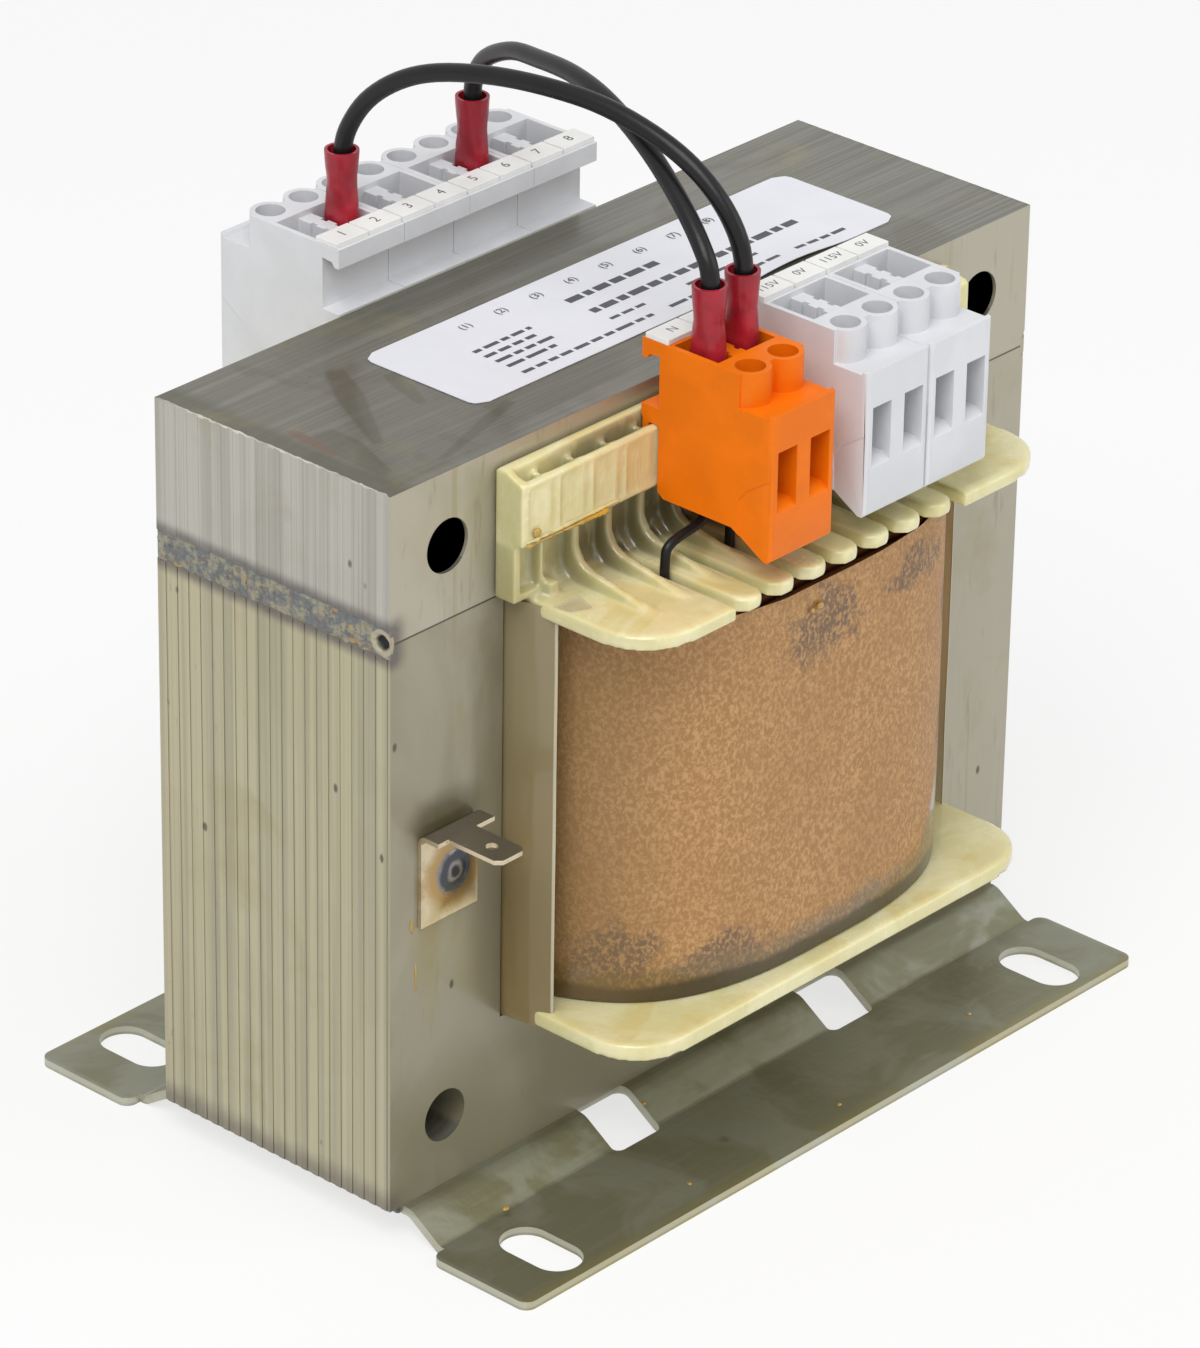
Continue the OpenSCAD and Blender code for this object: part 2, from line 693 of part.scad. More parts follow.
// Screw bore, cage chamber, wire entry and lead slots of one pole
module pole_cavities() {
    translate([0, tower_reach, entry_z]) cylinder(h = 40, d = tower_bore, $fn = round_fn);
    span([-cage_w / 2 - cage_fit, cage_y0 - cage_fit, entry_z - cage_floor - cage_fit],
        [cage_w / 2 + cage_fit, cage_y1 + cage_fit, entry_top + cage_roof + cage_fit]);
    span([-entry_w / 2, cage_y1 - 1, entry_z], [entry_w / 2, block_reach + 1, entry_top]);
    along_x(-entry_w / 2, entry_w / 2) polygon([
        [block_reach - 1.4, entry_z + 1], [block_reach - 1.4, entry_z],
        [block_reach + 1, entry_z - 1.8], [block_reach + 1, entry_z + 1]]);
    span([-contact_t / 2, contact_reach - blade_w / 2, foot_z],
        [contact_t / 2, contact_reach + blade_w / 2, top_z - well_h + 1]);
    span([-contact_t / 2, contact_reach, arm_z], [contact_t / 2, cage_y0 + 1, arm_z + arm_h]);
}

// Thin step on a side of the block where its lower front cover begins
module cover_step(side) {
    x = side * block_w / 2;
    along_x(x - 0.15, x + 0.15) polygon([
        [block_reach - 6.2, foot_z - 1], [block_reach - 6.5, foot_z + 9],
        [block_reach - 5, foot_z + 10.9], [block_reach + 1, foot_z + 15],
        [block_reach + 1, foot_z - 1]]);
}

// Moulded two-pole block at x on a rail, drawn as reach from the core
module terminal_block(x0, shade) {
    color(shade) translate([x0, face_y, 0]) difference() {
        union() {
            intersection() {
                along_x(-block_w / 2, block_w / 2) block_section();
                translate([0, 0, foot_z - 1]) linear_extrude(block_h + 2) block_plan();
            }
            for (pole = [-1, 1]) translate([pole * pole_x, tower_reach, shelf_z - 1])
                cylinder(h = step_drop + 1, d = tower_d, $fn = round_fn);
        }
        for (pole = [-1, 1]) translate([pole * pole_x, 0, 0]) pole_cavities();
        for (side = [-1, 1]) {
            span([side * well_web / 2, well_y0, top_z - well_h], [side * well_x, well_y1, top_z + 1]);
            cover_step(side);
        }
        span([-well_x, well_y0, top_z - 1], [well_x, well_y1, top_z + 1]);
        for (y = [well_y0 + 2.2, well_y0 + 5.2]) for (side = [-1, 1])
            span([side * well_web / 2, y, top_z - 5], [side * (well_web / 2 - 0.6), y + 1.2, top_z + 1]);
        for (i = [0:divider_count - 1]) let (dx = first_divider + i * pitch - x0)
            if (abs(dx) < block_w / 2 + 1)
                span([dx - divider_t, fit, panel_z1 - 4], [dx + divider_t, rail_d - panel_t, panel_z1]);
    }
}

module tags(blocks) {
    color([0.95, 0.95, 0.93]) for (x = blocks) for (pole = [-1, 1])
        translate([x + pole * pole_x - pitch / 2 + 0.15, face_y + lip_reach + 0.5, top_z])
            cube([pitch - 0.3, tag_l, tag_t]);
}

// Square cages round the wire entries, threaded at their tops
module cages(blocks) {
    color([0.75, 0.72, 0.60]) for (x = blocks) for (pole = [-1, 1])
        translate([x + pole * pole_x, face_y, 0]) difference() {
            span([-cage_w / 2, cage_y0, entry_z - cage_floor], [cage_w / 2, cage_y1, entry_top + cage_roof]);
            span([-entry_w / 2, cage_y0 - 1, entry_z], [entry_w / 2, cage_y1 + 1, entry_top]);
            translate([0, tower_reach, entry_top - 1])
                cylinder(h = cage_roof + 3, d = screw_d + cage_fit, $fn = round_fn);
        }
}

module clamp_screws(blocks) {
    head_d = tower_bore - 0.4;
    color([0.8, 0.8, 0.78]) for (x = blocks) for (pole = [-1, 1])
        translate([x + pole * pole_x, face_y + tower_reach, entry_top + cage_roof]) difference() {
            union() {
                translate([0, 0, -cage_roof]) cylinder(h = cage_roof + 0.1, d = screw_d, $fn = 32);
                cylinder(h = head_h, d = head_d, $fn = 32);
            }
            span([-head_d, -drive_w / 2, head_h - drive_h], [head_d, drive_w / 2, head_h + 1]);
        }
}

// Flat contacts: a blade in the well, an arm to the cage, a tail for the lead-out
module contacts(blocks) {
    r = contact_reach;
    w = blade_w / 2;
    color([0.80, 0.68, 0.36]) for (x = blocks) for (pole = [-1, 1])
        translate([0, face_y, 0])
            along_x(x + pole * pole_x - contact_t / 2, x + pole * pole_x + contact_t / 2) polygon([
                [r - w, tail_z], [r + w, tail_z], [r + w, arm_z], [cage_y0, arm_z],
                [cage_y0, arm_z + arm_h], [r + w, arm_z + arm_h], [r + w, blade_z], [r - w, blade_z]]);
}

// ---- jumpers ----

function route(x0, x1, shape) = [for (p = shape)
    [x0 + p[0] * (x1 - x0), p[1] * (face_y + contact_reach), top_z + p[2]]];

// Ring that is square for k near 0.5 and oval for k = 1
function ring(z, rx, ry, k) = [for (i = [0:23]) let (c = cos(15 * i), s = sin(15 * i))
    [rx * sign(c) * pow(abs(c), k), ry * sign(s) * pow(abs(s), k), z]];

function sleeve_rings(grow, over) = [for (p = [
    [-9, 1.75, 2.95, 0.6, -1], [-2, 1.8, 3, 0.6, 0], [1.5, 1.95, 2.8, 0.7, 0],
    [4.4, 2.25, 2.45, 0.9, 0], [6.5, 2.45, 2.55, 1, 0],
    [sleeve_rise, sleeve_d / 2, sleeve_d / 2, 1, 1]])
    ring(top_z + p[0] + over * p[4], p[1] + grow, p[2] + grow, p[3])];

// Insulating sleeve over a push-on receptacle, open at both ends
module sleeve(x, y) {
    color([0.78, 0.20, 0.24]) translate([x, y, 0]) difference() {
        skin(sleeve_rings(0, 0));
        skin(sleeve_rings(-sleeve_t, 0.5));
    }
}

// Push-on receptacles on the blades of the four jumpered poles
module receptacles() {
    pole_y = face_y + contact_reach;
    color([0.85, 0.75, 0.45])
        for (p = [[rear_pole_a, pole_y], [rear_pole_b, pole_y], [front_pole_a, -pole_y],
            [front_pole_b, -pole_y]]) translate([p[0], p[1], top_z]) difference() {
            union() {
                span([-receptacle_t / 2, -receptacle_w / 2, -receptacle_drop - receptacle_h],
                    [receptacle_t / 2, receptacle_w / 2, -receptacle_drop]);
                translate([0, 0, -receptacle_drop - 0.1])
                    cylinder(h = lead_bottom + receptacle_drop + 0.1, d = receptacle_t, $fn = 32);
            }
            span([-contact_t / 2, -blade_w / 2, -receptacle_drop - receptacle_h - 0.5],
                [contact_t / 2, blade_w / 2, blade_z - top_z]);
        }
}

module jumper_lead(pts) {
    color([0.07, 0.07, 0.08]) sweep(pts, lead_d, 8, [1, 0, 0]);
}

module rating_label() {
    color([0.92, 0.92, 0.94]) translate([label_x, -0.5, core_top])
        linear_extrude(label_t) round_rect(label_w, label_d, 2.5);
}

// ---- nodes ----

front_poles = [for (x = front_blocks) for (pole = [-1, 1]) x + pole * pole_x];
rear_poles = [for (x = rear_blocks) for (pole = [-1, 1]) -x - pole * pole_x];
pole_y = face_y + contact_reach;

e_stack();
i_yoke();
joint_weld(-1);  // joint_weld_left
joint_weld(1);  // joint_weld_right
base_plate();
base_weld(-1);  // base_weld_left
base_weld(1);  // base_weld_right
earth_tab();
bobbin();
color([0.72, 0.38, 0.2]) coil_ring(0, primary_y);  // primary_winding
color([0.85, 0.78, 0.62]) coil_ring(primary_y, barrier_y);  // winding_barrier
color([0.7, 0.36, 0.18]) coil_ring(barrier_y, secondary_y);  // secondary_winding
color([0.66, 0.48, 0.33]) coil_ring(secondary_y, outer_y - inner_y);  // outer_wrap
liner(-1);  // liner_left
liner(1);  // liner_right
leadouts(front_poles, 1);  // leadouts_front
rotate(180) leadouts(rear_poles, 0);  // leadouts_rear
mirror([0, 1, 0]) terminal_block(front_blocks[0], orange);  // terminal_orange
mirror([0, 1, 0]) terminal_block(front_blocks[1], grey);  // terminal_front_1
mirror([0, 1, 0]) terminal_block(front_blocks[2], grey);  // terminal_front_2
mirror([1, 0, 0]) terminal_block(-rear_blocks[0], grey);  // terminal_rear_1
mirror([1, 0, 0]) terminal_block(-rear_blocks[1], grey);  // terminal_rear_2
mirror([1, 0, 0]) terminal_block(-rear_blocks[2], grey);  // terminal_rear_3
mirror([1, 0, 0]) terminal_block(-rear_blocks[3], grey);  // terminal_rear_4
mirror([0, 1, 0]) tags(front_blocks);  // tags_front
tags(rear_blocks);  // tags_rear
mirror([0, 1, 0]) cages(front_blocks);  // clamp_cages_front
cages(rear_blocks);  // clamp_cages_rear
mirror([0, 1, 0]) clamp_screws(front_blocks);  // clamp_screws_front
clamp_screws(rear_blocks);  // clamp_screws_rear
mirror([0, 1, 0]) contacts(front_blocks);  // contacts_front
contacts(rear_blocks);  // contacts_rear
sleeve(rear_pole_a, pole_y);  // sleeve_rear_a
sleeve(rear_pole_b, pole_y);  // sleeve_rear_b
sleeve(front_pole_a, -pole_y);  // sleeve_front_a
sleeve(front_pole_b, -pole_y);  // sleeve_front_b
receptacles();
jumper_lead(route(rear_pole_a, front_pole_a, shape_a));  // jumper_lead_a
jumper_lead(route(rear_pole_b, front_pole_b, shape_b));  // jumper_lead_b
rating_label();
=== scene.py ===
import bpy
import bmesh
import math
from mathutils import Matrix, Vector, noise


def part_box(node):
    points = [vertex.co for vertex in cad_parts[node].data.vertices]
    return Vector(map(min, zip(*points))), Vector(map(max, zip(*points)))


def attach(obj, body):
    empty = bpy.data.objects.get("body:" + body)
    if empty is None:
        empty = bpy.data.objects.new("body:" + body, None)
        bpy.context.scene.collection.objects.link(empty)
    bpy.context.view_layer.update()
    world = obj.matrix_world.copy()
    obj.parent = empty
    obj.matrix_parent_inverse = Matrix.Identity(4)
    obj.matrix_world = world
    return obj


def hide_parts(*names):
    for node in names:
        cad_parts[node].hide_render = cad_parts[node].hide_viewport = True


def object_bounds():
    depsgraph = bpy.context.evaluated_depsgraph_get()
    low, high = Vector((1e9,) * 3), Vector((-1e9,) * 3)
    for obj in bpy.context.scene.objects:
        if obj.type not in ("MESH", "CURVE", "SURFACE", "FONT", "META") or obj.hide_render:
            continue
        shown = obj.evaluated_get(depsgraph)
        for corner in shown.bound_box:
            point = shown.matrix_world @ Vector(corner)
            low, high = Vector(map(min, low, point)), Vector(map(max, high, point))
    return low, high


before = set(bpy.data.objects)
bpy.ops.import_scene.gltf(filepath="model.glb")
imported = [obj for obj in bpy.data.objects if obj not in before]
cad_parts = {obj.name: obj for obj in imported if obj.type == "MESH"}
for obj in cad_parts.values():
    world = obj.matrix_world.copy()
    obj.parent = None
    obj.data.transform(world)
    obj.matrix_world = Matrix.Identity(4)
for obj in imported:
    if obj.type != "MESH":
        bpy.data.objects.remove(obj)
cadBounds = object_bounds()
mm = 0.001
print("frame loaded, nodes:", len(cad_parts))


# ---- camera, at the angle of the front left corner ----

cameraSetup = {
    "place": (-762.9 * mm, -686.9 * mm, 600.6 * mm),
    "turn": (62.385, -0.819, -47.575),      # degrees
    "lens": 190.95,
    "sensor": 36,
    "clip": (0.05, 30),
}


def addCamera(setup):
    data = bpy.data.cameras.new("camera")
    data.lens = setup["lens"]
    data.sensor_width = setup["sensor"]
    data.clip_start, data.clip_end = setup["clip"]
    camera = bpy.data.objects.new("camera", data)
    camera.location = setup["place"]
    camera.rotation_euler = [math.radians(a) for a in setup["turn"]]
    bpy.context.collection.objects.link(camera)
    bpy.context.scene.camera = camera


addCamera(cameraSetup)


# ---- shader expressions ----

class Signal:                               # a socket that can stand in an expression
    def __init__(self, finish, socket):
        self.finish = finish
        self.socket = socket

    def math(self, operation, *values):
        return self.finish.node("ShaderNodeMath", {"operation": operation}, dict(enumerate((self, *values))))

    def __add__(self, other): return self.math("ADD", other)
    def __mul__(self, other): return self.math("MULTIPLY", other)
    def __sub__(self, other): return self.math("SUBTRACT", other)
    def __pow__(self, other): return self.math("POWER", other)

    def __rsub__(self, other):
        return self.finish.node("ShaderNodeMath", {"operation": "SUBTRACT"}, {0: other, 1: self})

    __radd__, __rmul__ = __add__, __mul__

    def atMost(self, other): return self.math("MINIMUM", other)
    def atLeast(self, other): return self.math("MAXIMUM", other)
    def size(self): return self.math("ABSOLUTE")

    def between(self, low, high):           # smooth step from 0 at low to 1 at high
        return self.finish.node("ShaderNodeMapRange", {"interpolation_type": "SMOOTHSTEP"},
                                {"Value": self, "From Min": low, "From Max": high})


class Finish:                               # one material and the tools to write it
    def __init__(self, name):
        self.material = bpy.data.materials.new(name)
        self.material.use_nodes = True
        self.nodes = self.material.node_tree.nodes
        self.links = self.material.node_tree.links
        self.shader = self.nodes["Principled BSDF"]
        place = self.node("ShaderNodeTexCoord", {}, {}, "Object")
        self.where = self.node("ShaderNodeMapping", {}, {"Vector": place, "Scale": (1000, 1000, 1000)})   # in mm
        self.axes = self.node("ShaderNodeSeparateXYZ", {}, {"Vector": self.where}, None)
        self.x, self.y, self.z = (Signal(self, self.axes.outputs[i]) for i in range(3))

    def node(self, kind, settings, values, output=0):
        made = self.nodes.new(kind)
        for key, value in settings.items():
            setattr(made, key, value)
        for key, value in values.items():
            self.feed(made.inputs[key], value)
        return made if output is None else Signal(self, made.outputs[output])

    def feed(self, socket, value):
        if isinstance(value, Signal):
            self.links.new(value.socket, socket)
        elif socket.type == "RGBA" and len(value) == 3:
            socket.default_value = (*value, 1)
        else:
            socket.default_value = value

    def stretch(self, x, y, z, shift=(0, 0, 0)):
        return self.node("ShaderNodeMapping", {}, {"Vector": self.where, "Scale": (x, y, z), "Location": shift})

    def speckle(self, scale, detail=3.0, rough=0.55, at=None, warp=0.0):
        return self.node("ShaderNodeTexNoise", {}, {"Vector": at or self.where, "Scale": scale, "Detail": detail,
                                                    "Roughness": rough, "Distortion": warp})

    def cells(self, scale, at=None):
        return self.node("ShaderNodeTexVoronoi", {}, {"Vector": at or self.where, "Scale": scale}, "Distance")

    def blend(self, factor, first, second):
        return self.node("ShaderNodeMix", {"data_type": "RGBA", "clamp_factor": True},
                         {0: factor, 6: first, 7: second}, 2)

    def facing(self):                       # which way the surface points, in the part's own axes
        geometry = self.node("ShaderNodeNewGeometry", {}, {}, "Normal")
        parts = self.node("ShaderNodeSeparateXYZ", {}, {"Vector": geometry}, None)
        return [Signal(self, parts.outputs[i]) for i in range(3)]

    def bump(self, height, depth, strength):
        return self.node("ShaderNodeBump", {}, {"Height": height, "Distance": depth, "Strength": strength})

    def set(self, **values):
        for key, value in values.items():
            self.feed(self.shader.inputs[socketNames[key]], value)
        finishes[self.material.name] = self.material


finishes = {}
socketNames = {
    "colour": "Base Color", "roughness": "Roughness", "metal": "Metallic", "normal": "Normal", "alpha": "Alpha",
    "coat": "Coat Weight", "coatRoughness": "Coat Roughness", "shine": "Specular IOR Level",
    "subsurface": "Subsurface Weight", "subsurfaceRadius": "Subsurface Radius", "subsurfaceScale": "Subsurface Scale",
}


# ---- finishes ----

def spot(f, x, y, z, radius, edge, squash=(1, 1, 1)):   # soft round mask at a place, in mm
    d = ((f.x - x) * squash[0]) ** 2 + ((f.y - y) * squash[1]) ** 2 + ((f.z - z) * squash[2]) ** 2
    return (d ** 0.5).between(radius + edge, max(0.0, radius - edge))


def band(signal, middle, half, soft):       # 1 near the middle value, fading over soft
    return (signal - middle).size().between(half + soft, half)


def streak(f, x0, y0, x1, y1, half, soft):  # mask along a line on a level face, narrowing to its end
    long = math.hypot(x1 - x0, y1 - y0)
    dx, dy = (x1 - x0) / long, (y1 - y0) / long
    along = (f.x - x0) * dx + (f.y - y0) * dy
    off = ((f.y - y0) * dx - (f.x - x0) * dy).size()
    width = half * (1 - (along * (1 / long) - 0.35).size() * 1.1)
    return (off - width).between(soft, 0) * along.between(-soft, soft) * (long - along).between(-soft, soft)


core = {
    "side": (0.365, 0.335, 0.225), "sideDark": (0.22, 0.19, 0.11), "sideStreak": (0.47, 0.43, 0.28),
    "yokeSide": (0.37, 0.357, 0.31), "yokeStreak": (0.46, 0.448, 0.395),
    "face": (0.265, 0.24, 0.16), "facePale": (0.43, 0.40, 0.31),
    "top": (0.135, 0.128, 0.098), "topPale": (0.215, 0.21, 0.178), "heat": (0.085, 0.07, 0.07),
    "varnish": (0.30, 0.25, 0.10), "soil": (0.035, 0.03, 0.02), "joint": 105.6,
    "pool": (0.085, 0.08, 0.045), "rust": (0.16, 0.075, 0.045), "scorch": (0.10, 0.085, 0.035),
    # smears of varnish on the top: from, to, half width
    "smears": [(-49, 12, -63, -11, 1.9), (-66, -2, -69.5, -19, 2.6),
               (-44, 5, -48, -6, 1.2), (-38, -15, -60, -21.5, 0.8)],
    "rustSmear": (-68.9, 1.9, -70.3, -9, 0.9),
    # marks on the front of the left leg: place, radius, soft edge, squash
    "scorchMark": (-63, -25, 71.5, 4.5, 2.2, (0.6, 1, 1)), "runMark": (-66, -25, 49, 2.0, 2.5, (1, 1, 0.22)),
}


def coreFinish(name, c, isYoke):
    f = Finish(name)
    _, ny, nz = f.facing()
    onSide = f.x.size().between(74.2, 74.6) * ny.size().between(0.98, 0.9)
    onTop = nz.between(0.55, 0.8)
    # edges of the sheets, seen on the two sides
    sheets = f.speckle(1.0, 2, at=f.stretch(0, 3.6, 0.006))
    bundles = f.speckle(1.0, 2, at=f.stretch(0, 0.42, 0.004, (0, 3, 0)))
    patches = f.speckle(0.05, 4, 0.6, warp=0.4)
    side = f.blend(bundles.between(0.38, 0.62), c["yokeSide"] if isYoke else c["side"],
                   c["yokeStreak"] if isYoke else c["sideStreak"])
    side = f.blend(sheets.between(0.5, 0.72) * (0.3 if isYoke else 0.22), side, c["sideDark"])
    side = f.blend(f.speckle(0.35, 5, 0.7, at=f.stretch(1, 1, 0.35)).between(0.6, 0.72)
                   * f.y.between(2, 26) * (0.2 if isYoke else 0.75), side, c["sideDark"])
    # broad varnish film on the front and back, pale where it is bare
    flow = f.speckle(0.022, 3, 0.5, warp=1.3, at=f.stretch(1.2, 1, 0.7))
    face = f.blend(flow.between(0.4, 0.62) * 0.55, c["facePale"] if isYoke else c["face"], c["facePale"])
    face = f.blend(f.x.between(-30, 60) * 0.75, face, c["facePale"])
    drips = f.speckle(0.35, 3, 0.55, at=f.stretch(1, 1, 0.05, (2, 0, 0))).between(0.62, 0.72)
    face = f.blend(drips * 0.35, face, c["varnish"])
    face = f.blend(f.speckle(0.5, 3, 0.6, at=f.stretch(1, 1, 0.16)).between(0.6, 0.75) * 0.5, face, c["face"])
    # rolled top sheet edges, streaked along the core
    streaks = f.speckle(1.0, 4, 0.6, at=f.stretch(0.02, 2.4, 0))
    wide = f.speckle(1.0, 3, 0.5, at=f.stretch(0.012, 0.35, 0, (5, 0, 0)))
    top = f.blend(streaks.between(0.42, 0.62) * (0.4 + f.x.between(0, 60) * 0.5), c["top"], c["topPale"])
    top = f.blend(wide.between(0.5, 0.62) * 0.5, top, c["topPale"])
    top = f.blend(f.speckle(0.9, 2).between(0.72, 0.78) * 0.7, top, c["soil"])
    rim = f.x.between(-68.5, -73.5) + f.speckle(0.12, 2, at=f.stretch(1, 1, 1, (7, 0, 0))) * 0.3 - 0.15
    top = f.blend(rim.atMost(0.75).atLeast(0), top, c["pool"])
    for smear in c["smears"]:
        top = f.blend(streak(f, *smear, 0.8) * 0.6, top, c["pool"])
    top = f.blend(streak(f, *c["rustSmear"], 0.35) * 0.75, top, c["rust"])
    tone = f.blend(onSide, face, side)
    tone = f.blend(onTop, tone, top)
    tone = f.blend(patches.between(0.55, 0.75) * 0.35, tone, c["varnish"])
    # heat of the welds, joint line, dirt
    height = (f.z - c["joint"]).size()
    reach = f.x.between(-70.5, -74.8)
    wave = f.speckle(0.25, 3) * 2.4
    border = height.between(5.0, 2.6) * (wave * 0.3 + 0.45) * onSide
    border = border + (height + wave * 0.8).between(6.5, 3) * (1 - onSide) * reach
    tone = f.blend(border.atMost(0.78), tone, c["heat"])
    low = (f.z + wave).between(12, 7.5) * reach
    tone = f.blend(low * 0.6, tone, c["heat"])
    jointLine = band(f.z, c["joint"], 0.1, 0.12) * (1 - onTop)
    tone = f.blend(jointLine * 0.9, tone, c["soil"])
    specks = f.cells(0.11, at=f.stretch(1, 1, 0.6)).between(0.07, 0.03)
    tone = f.blend(specks * 0.8 * (1 - onTop), tone, c["soil"])
    tone = f.blend(spot(f, *c["scorchMark"]) * 0.75, tone, c["scorch"])
    tone = f.blend(spot(f, *c["runMark"]) * 0.45, tone, c["varnish"])
    gloss = flow.between(0.5, 0.56) * 0.2 + 0.3
    height = sheets * (0.8 if isYoke else 0.55) * onSide + streaks * onTop * 0.9 + patches * 0.15
    f.set(colour=tone, roughness=gloss + streaks * 0.1 * onTop, metal=0.35, coat=0.35,
          coatRoughness=0.12, normal=f.bump(height, 0.0001, 0.4))


coreFinish("coreSteel", core, False)
coreFinish("yokeSteel", core, True)

weld = {"middle": (0.33, 0.315, 0.23), "dark": (0.12, 0.12, 0.10), "blue": (0.17, 0.18, 0.19),
        "straw": (0.46, 0.30, 0.11), "rust": (0.30, 0.13, 0.07), "ash": (0.50, 0.45, 0.32),
        "craterShade": (0.02, 0.022, 0.022), "crater": (-23.2, 105.5)}


def weldFinish(w):
    f = Finish("weldBead")
    patch = f.speckle(0.5, 4, 0.65, at=f.stretch(1, 0.8, 1))
    tone = f.blend(patch.between(0.4, 0.58), w["middle"], w["blue"])
    tone = f.blend(f.speckle(1.3, 3, 0.6).between(0.5, 0.7) * 0.75, tone, w["dark"])
    straw = f.speckle(0.7, 3, 0.6, at=f.stretch(1, 0.7, 1.4, (0, 9, 0)))
    tone = f.blend(straw.between(0.57, 0.68) * 0.8, tone, w["straw"])
    rust = f.speckle(0.9, 2, at=f.stretch(1, 1, 1, (4, 0, 0)))
    tone = f.blend(rust.between(0.66, 0.74) * 0.7, tone, w["rust"])
    y, z = w["crater"]
    ring = ((f.y - y) ** 2 + (f.z - z) ** 2) ** 0.5 + patch * 0.5 - 0.25
    tone = f.blend(band(ring, 1.75, 0.3, 0.4) * 0.8, tone, w["ash"])
    # painted shade at the bottom of the crater
    tone = f.blend(ring.between(1.45, 0.9), tone, w["craterShade"])
    grain = f.speckle(1.6, 4)
    f.set(colour=tone, roughness=grain * 0.3 + 0.3, metal=0.45,
          normal=f.bump(grain + patch, 0.0004, 0.6))


weldFinish(weld)

zinc = {"sheet": (0.36, 0.365, 0.29), "olive": (0.25, 0.245, 0.155), "pale": (0.46, 0.465, 0.38),
        "cut": (0.62, 0.6, 0.5), "dull": (0.17, 0.165, 0.11), "spot": (0.075, 0.07, 0.03),
        "varnish": (0.42, 0.36, 0.12)}


def zincFinish(c):
    f = Finish("baseZinc")
    nz = f.facing()[2]
    flow = f.speckle(0.05, 4, 0.55, warp=0.8)
    tone = f.blend(flow.between(0.42, 0.58), c["sheet"], c["olive"])
    scuffs = f.speckle(1.0, 3, 0.5, at=f.stretch(0.05, 0.8, 0.8))
    tone = f.blend(scuffs.between(0.5, 0.75) * 0.2, tone, c["pale"])
    tone = f.blend(f.cells(0.055).between(0.09, 0.03) * 0.7, tone, c["spot"])
    tone = f.blend(f.y.size().between(51.5, 54.6) * flow.between(0.35, 0.6) * 0.6, tone, c["varnish"])
    tone = f.blend(f.x.size().between(73.8, 74.7) * 0.5, tone, c["pale"])
    tone = f.blend(nz.between(0.4, 0.1) * f.z.between(0.25, 0.7) * 0.5, tone, c["cut"])
    tone = f.blend(nz.between(0.97, 0.995) * 0.45, tone, c["dull"])
    tone = f.blend(f.z.between(4.2, 5.0) * 0.3, tone, c["dull"])
    f.set(colour=tone, roughness=flow * 0.14 + 0.3, metal=0.6,
          normal=f.bump(f.speckle(0.3, 3), 0.0004, 0.35))


zincFinish(zinc)

lugFinish = {"plate": (0.66, 0.57, 0.40), "straw": (0.44, 0.29, 0.12), "blue": (0.075, 0.08, 0.095),
             "ring": (0.25, 0.245, 0.23), "flange": (0.26, 0.23, 0.185), "pit": (0.035, 0.035, 0.04),
             "centre": (-61.6, 62.1)}


def earthFinish(c):
    f = Finish("brassTin")
    _, ny, nz = f.facing()
    onLug = f.y.between(-27.6, -26.6) * ny.size().between(0.4, 0.7)
    x, z = c["centre"]
    d = ((f.x - x) ** 2 + (f.z - z) ** 2) ** 0.5 + f.speckle(0.7, 3) * 1.1 - 0.55
    stain = f.speckle(0.25, 4, 0.6)
    tone = f.blend(stain.between(0.5, 0.7) * 0.6, c["plate"], c["straw"])
    tone = f.blend(d.between(7.6, 4.6) * onLug, tone, c["straw"])
    tone = f.blend(d.between(4.4, 3.4) * onLug, tone, c["ring"])
    tone = f.blend(band(d, 2.5, 0.5, 0.6) * onLug, tone, c["blue"])
    tone = f.blend(d.between(1.4, 0.7) * onLug, tone, c["pit"])
    tone = f.blend(nz.between(0.6, 0.85) * f.z.between(69.9, 70.4), tone, c["flange"])
    dents = d.between(3.6, 2.2) * onLug
    f.set(colour=tone, roughness=stain * 0.2 + 0.2, metal=0.8,
          normal=f.bump(1 - dents + stain * 0.3, 0.0003, 0.6))


earthFinish(lugFinish)

nylon = {"body": (0.70, 0.645, 0.33), "pale": (0.78, 0.73, 0.44), "paintedShade": (0.085, 0.07, 0.03),
         "ribSideShade": (0.40, 0.375, 0.16), "varnish": (0.66, 0.50, 0.15), "face": 25.0, "comb": 105.4, "panel": 115.6}


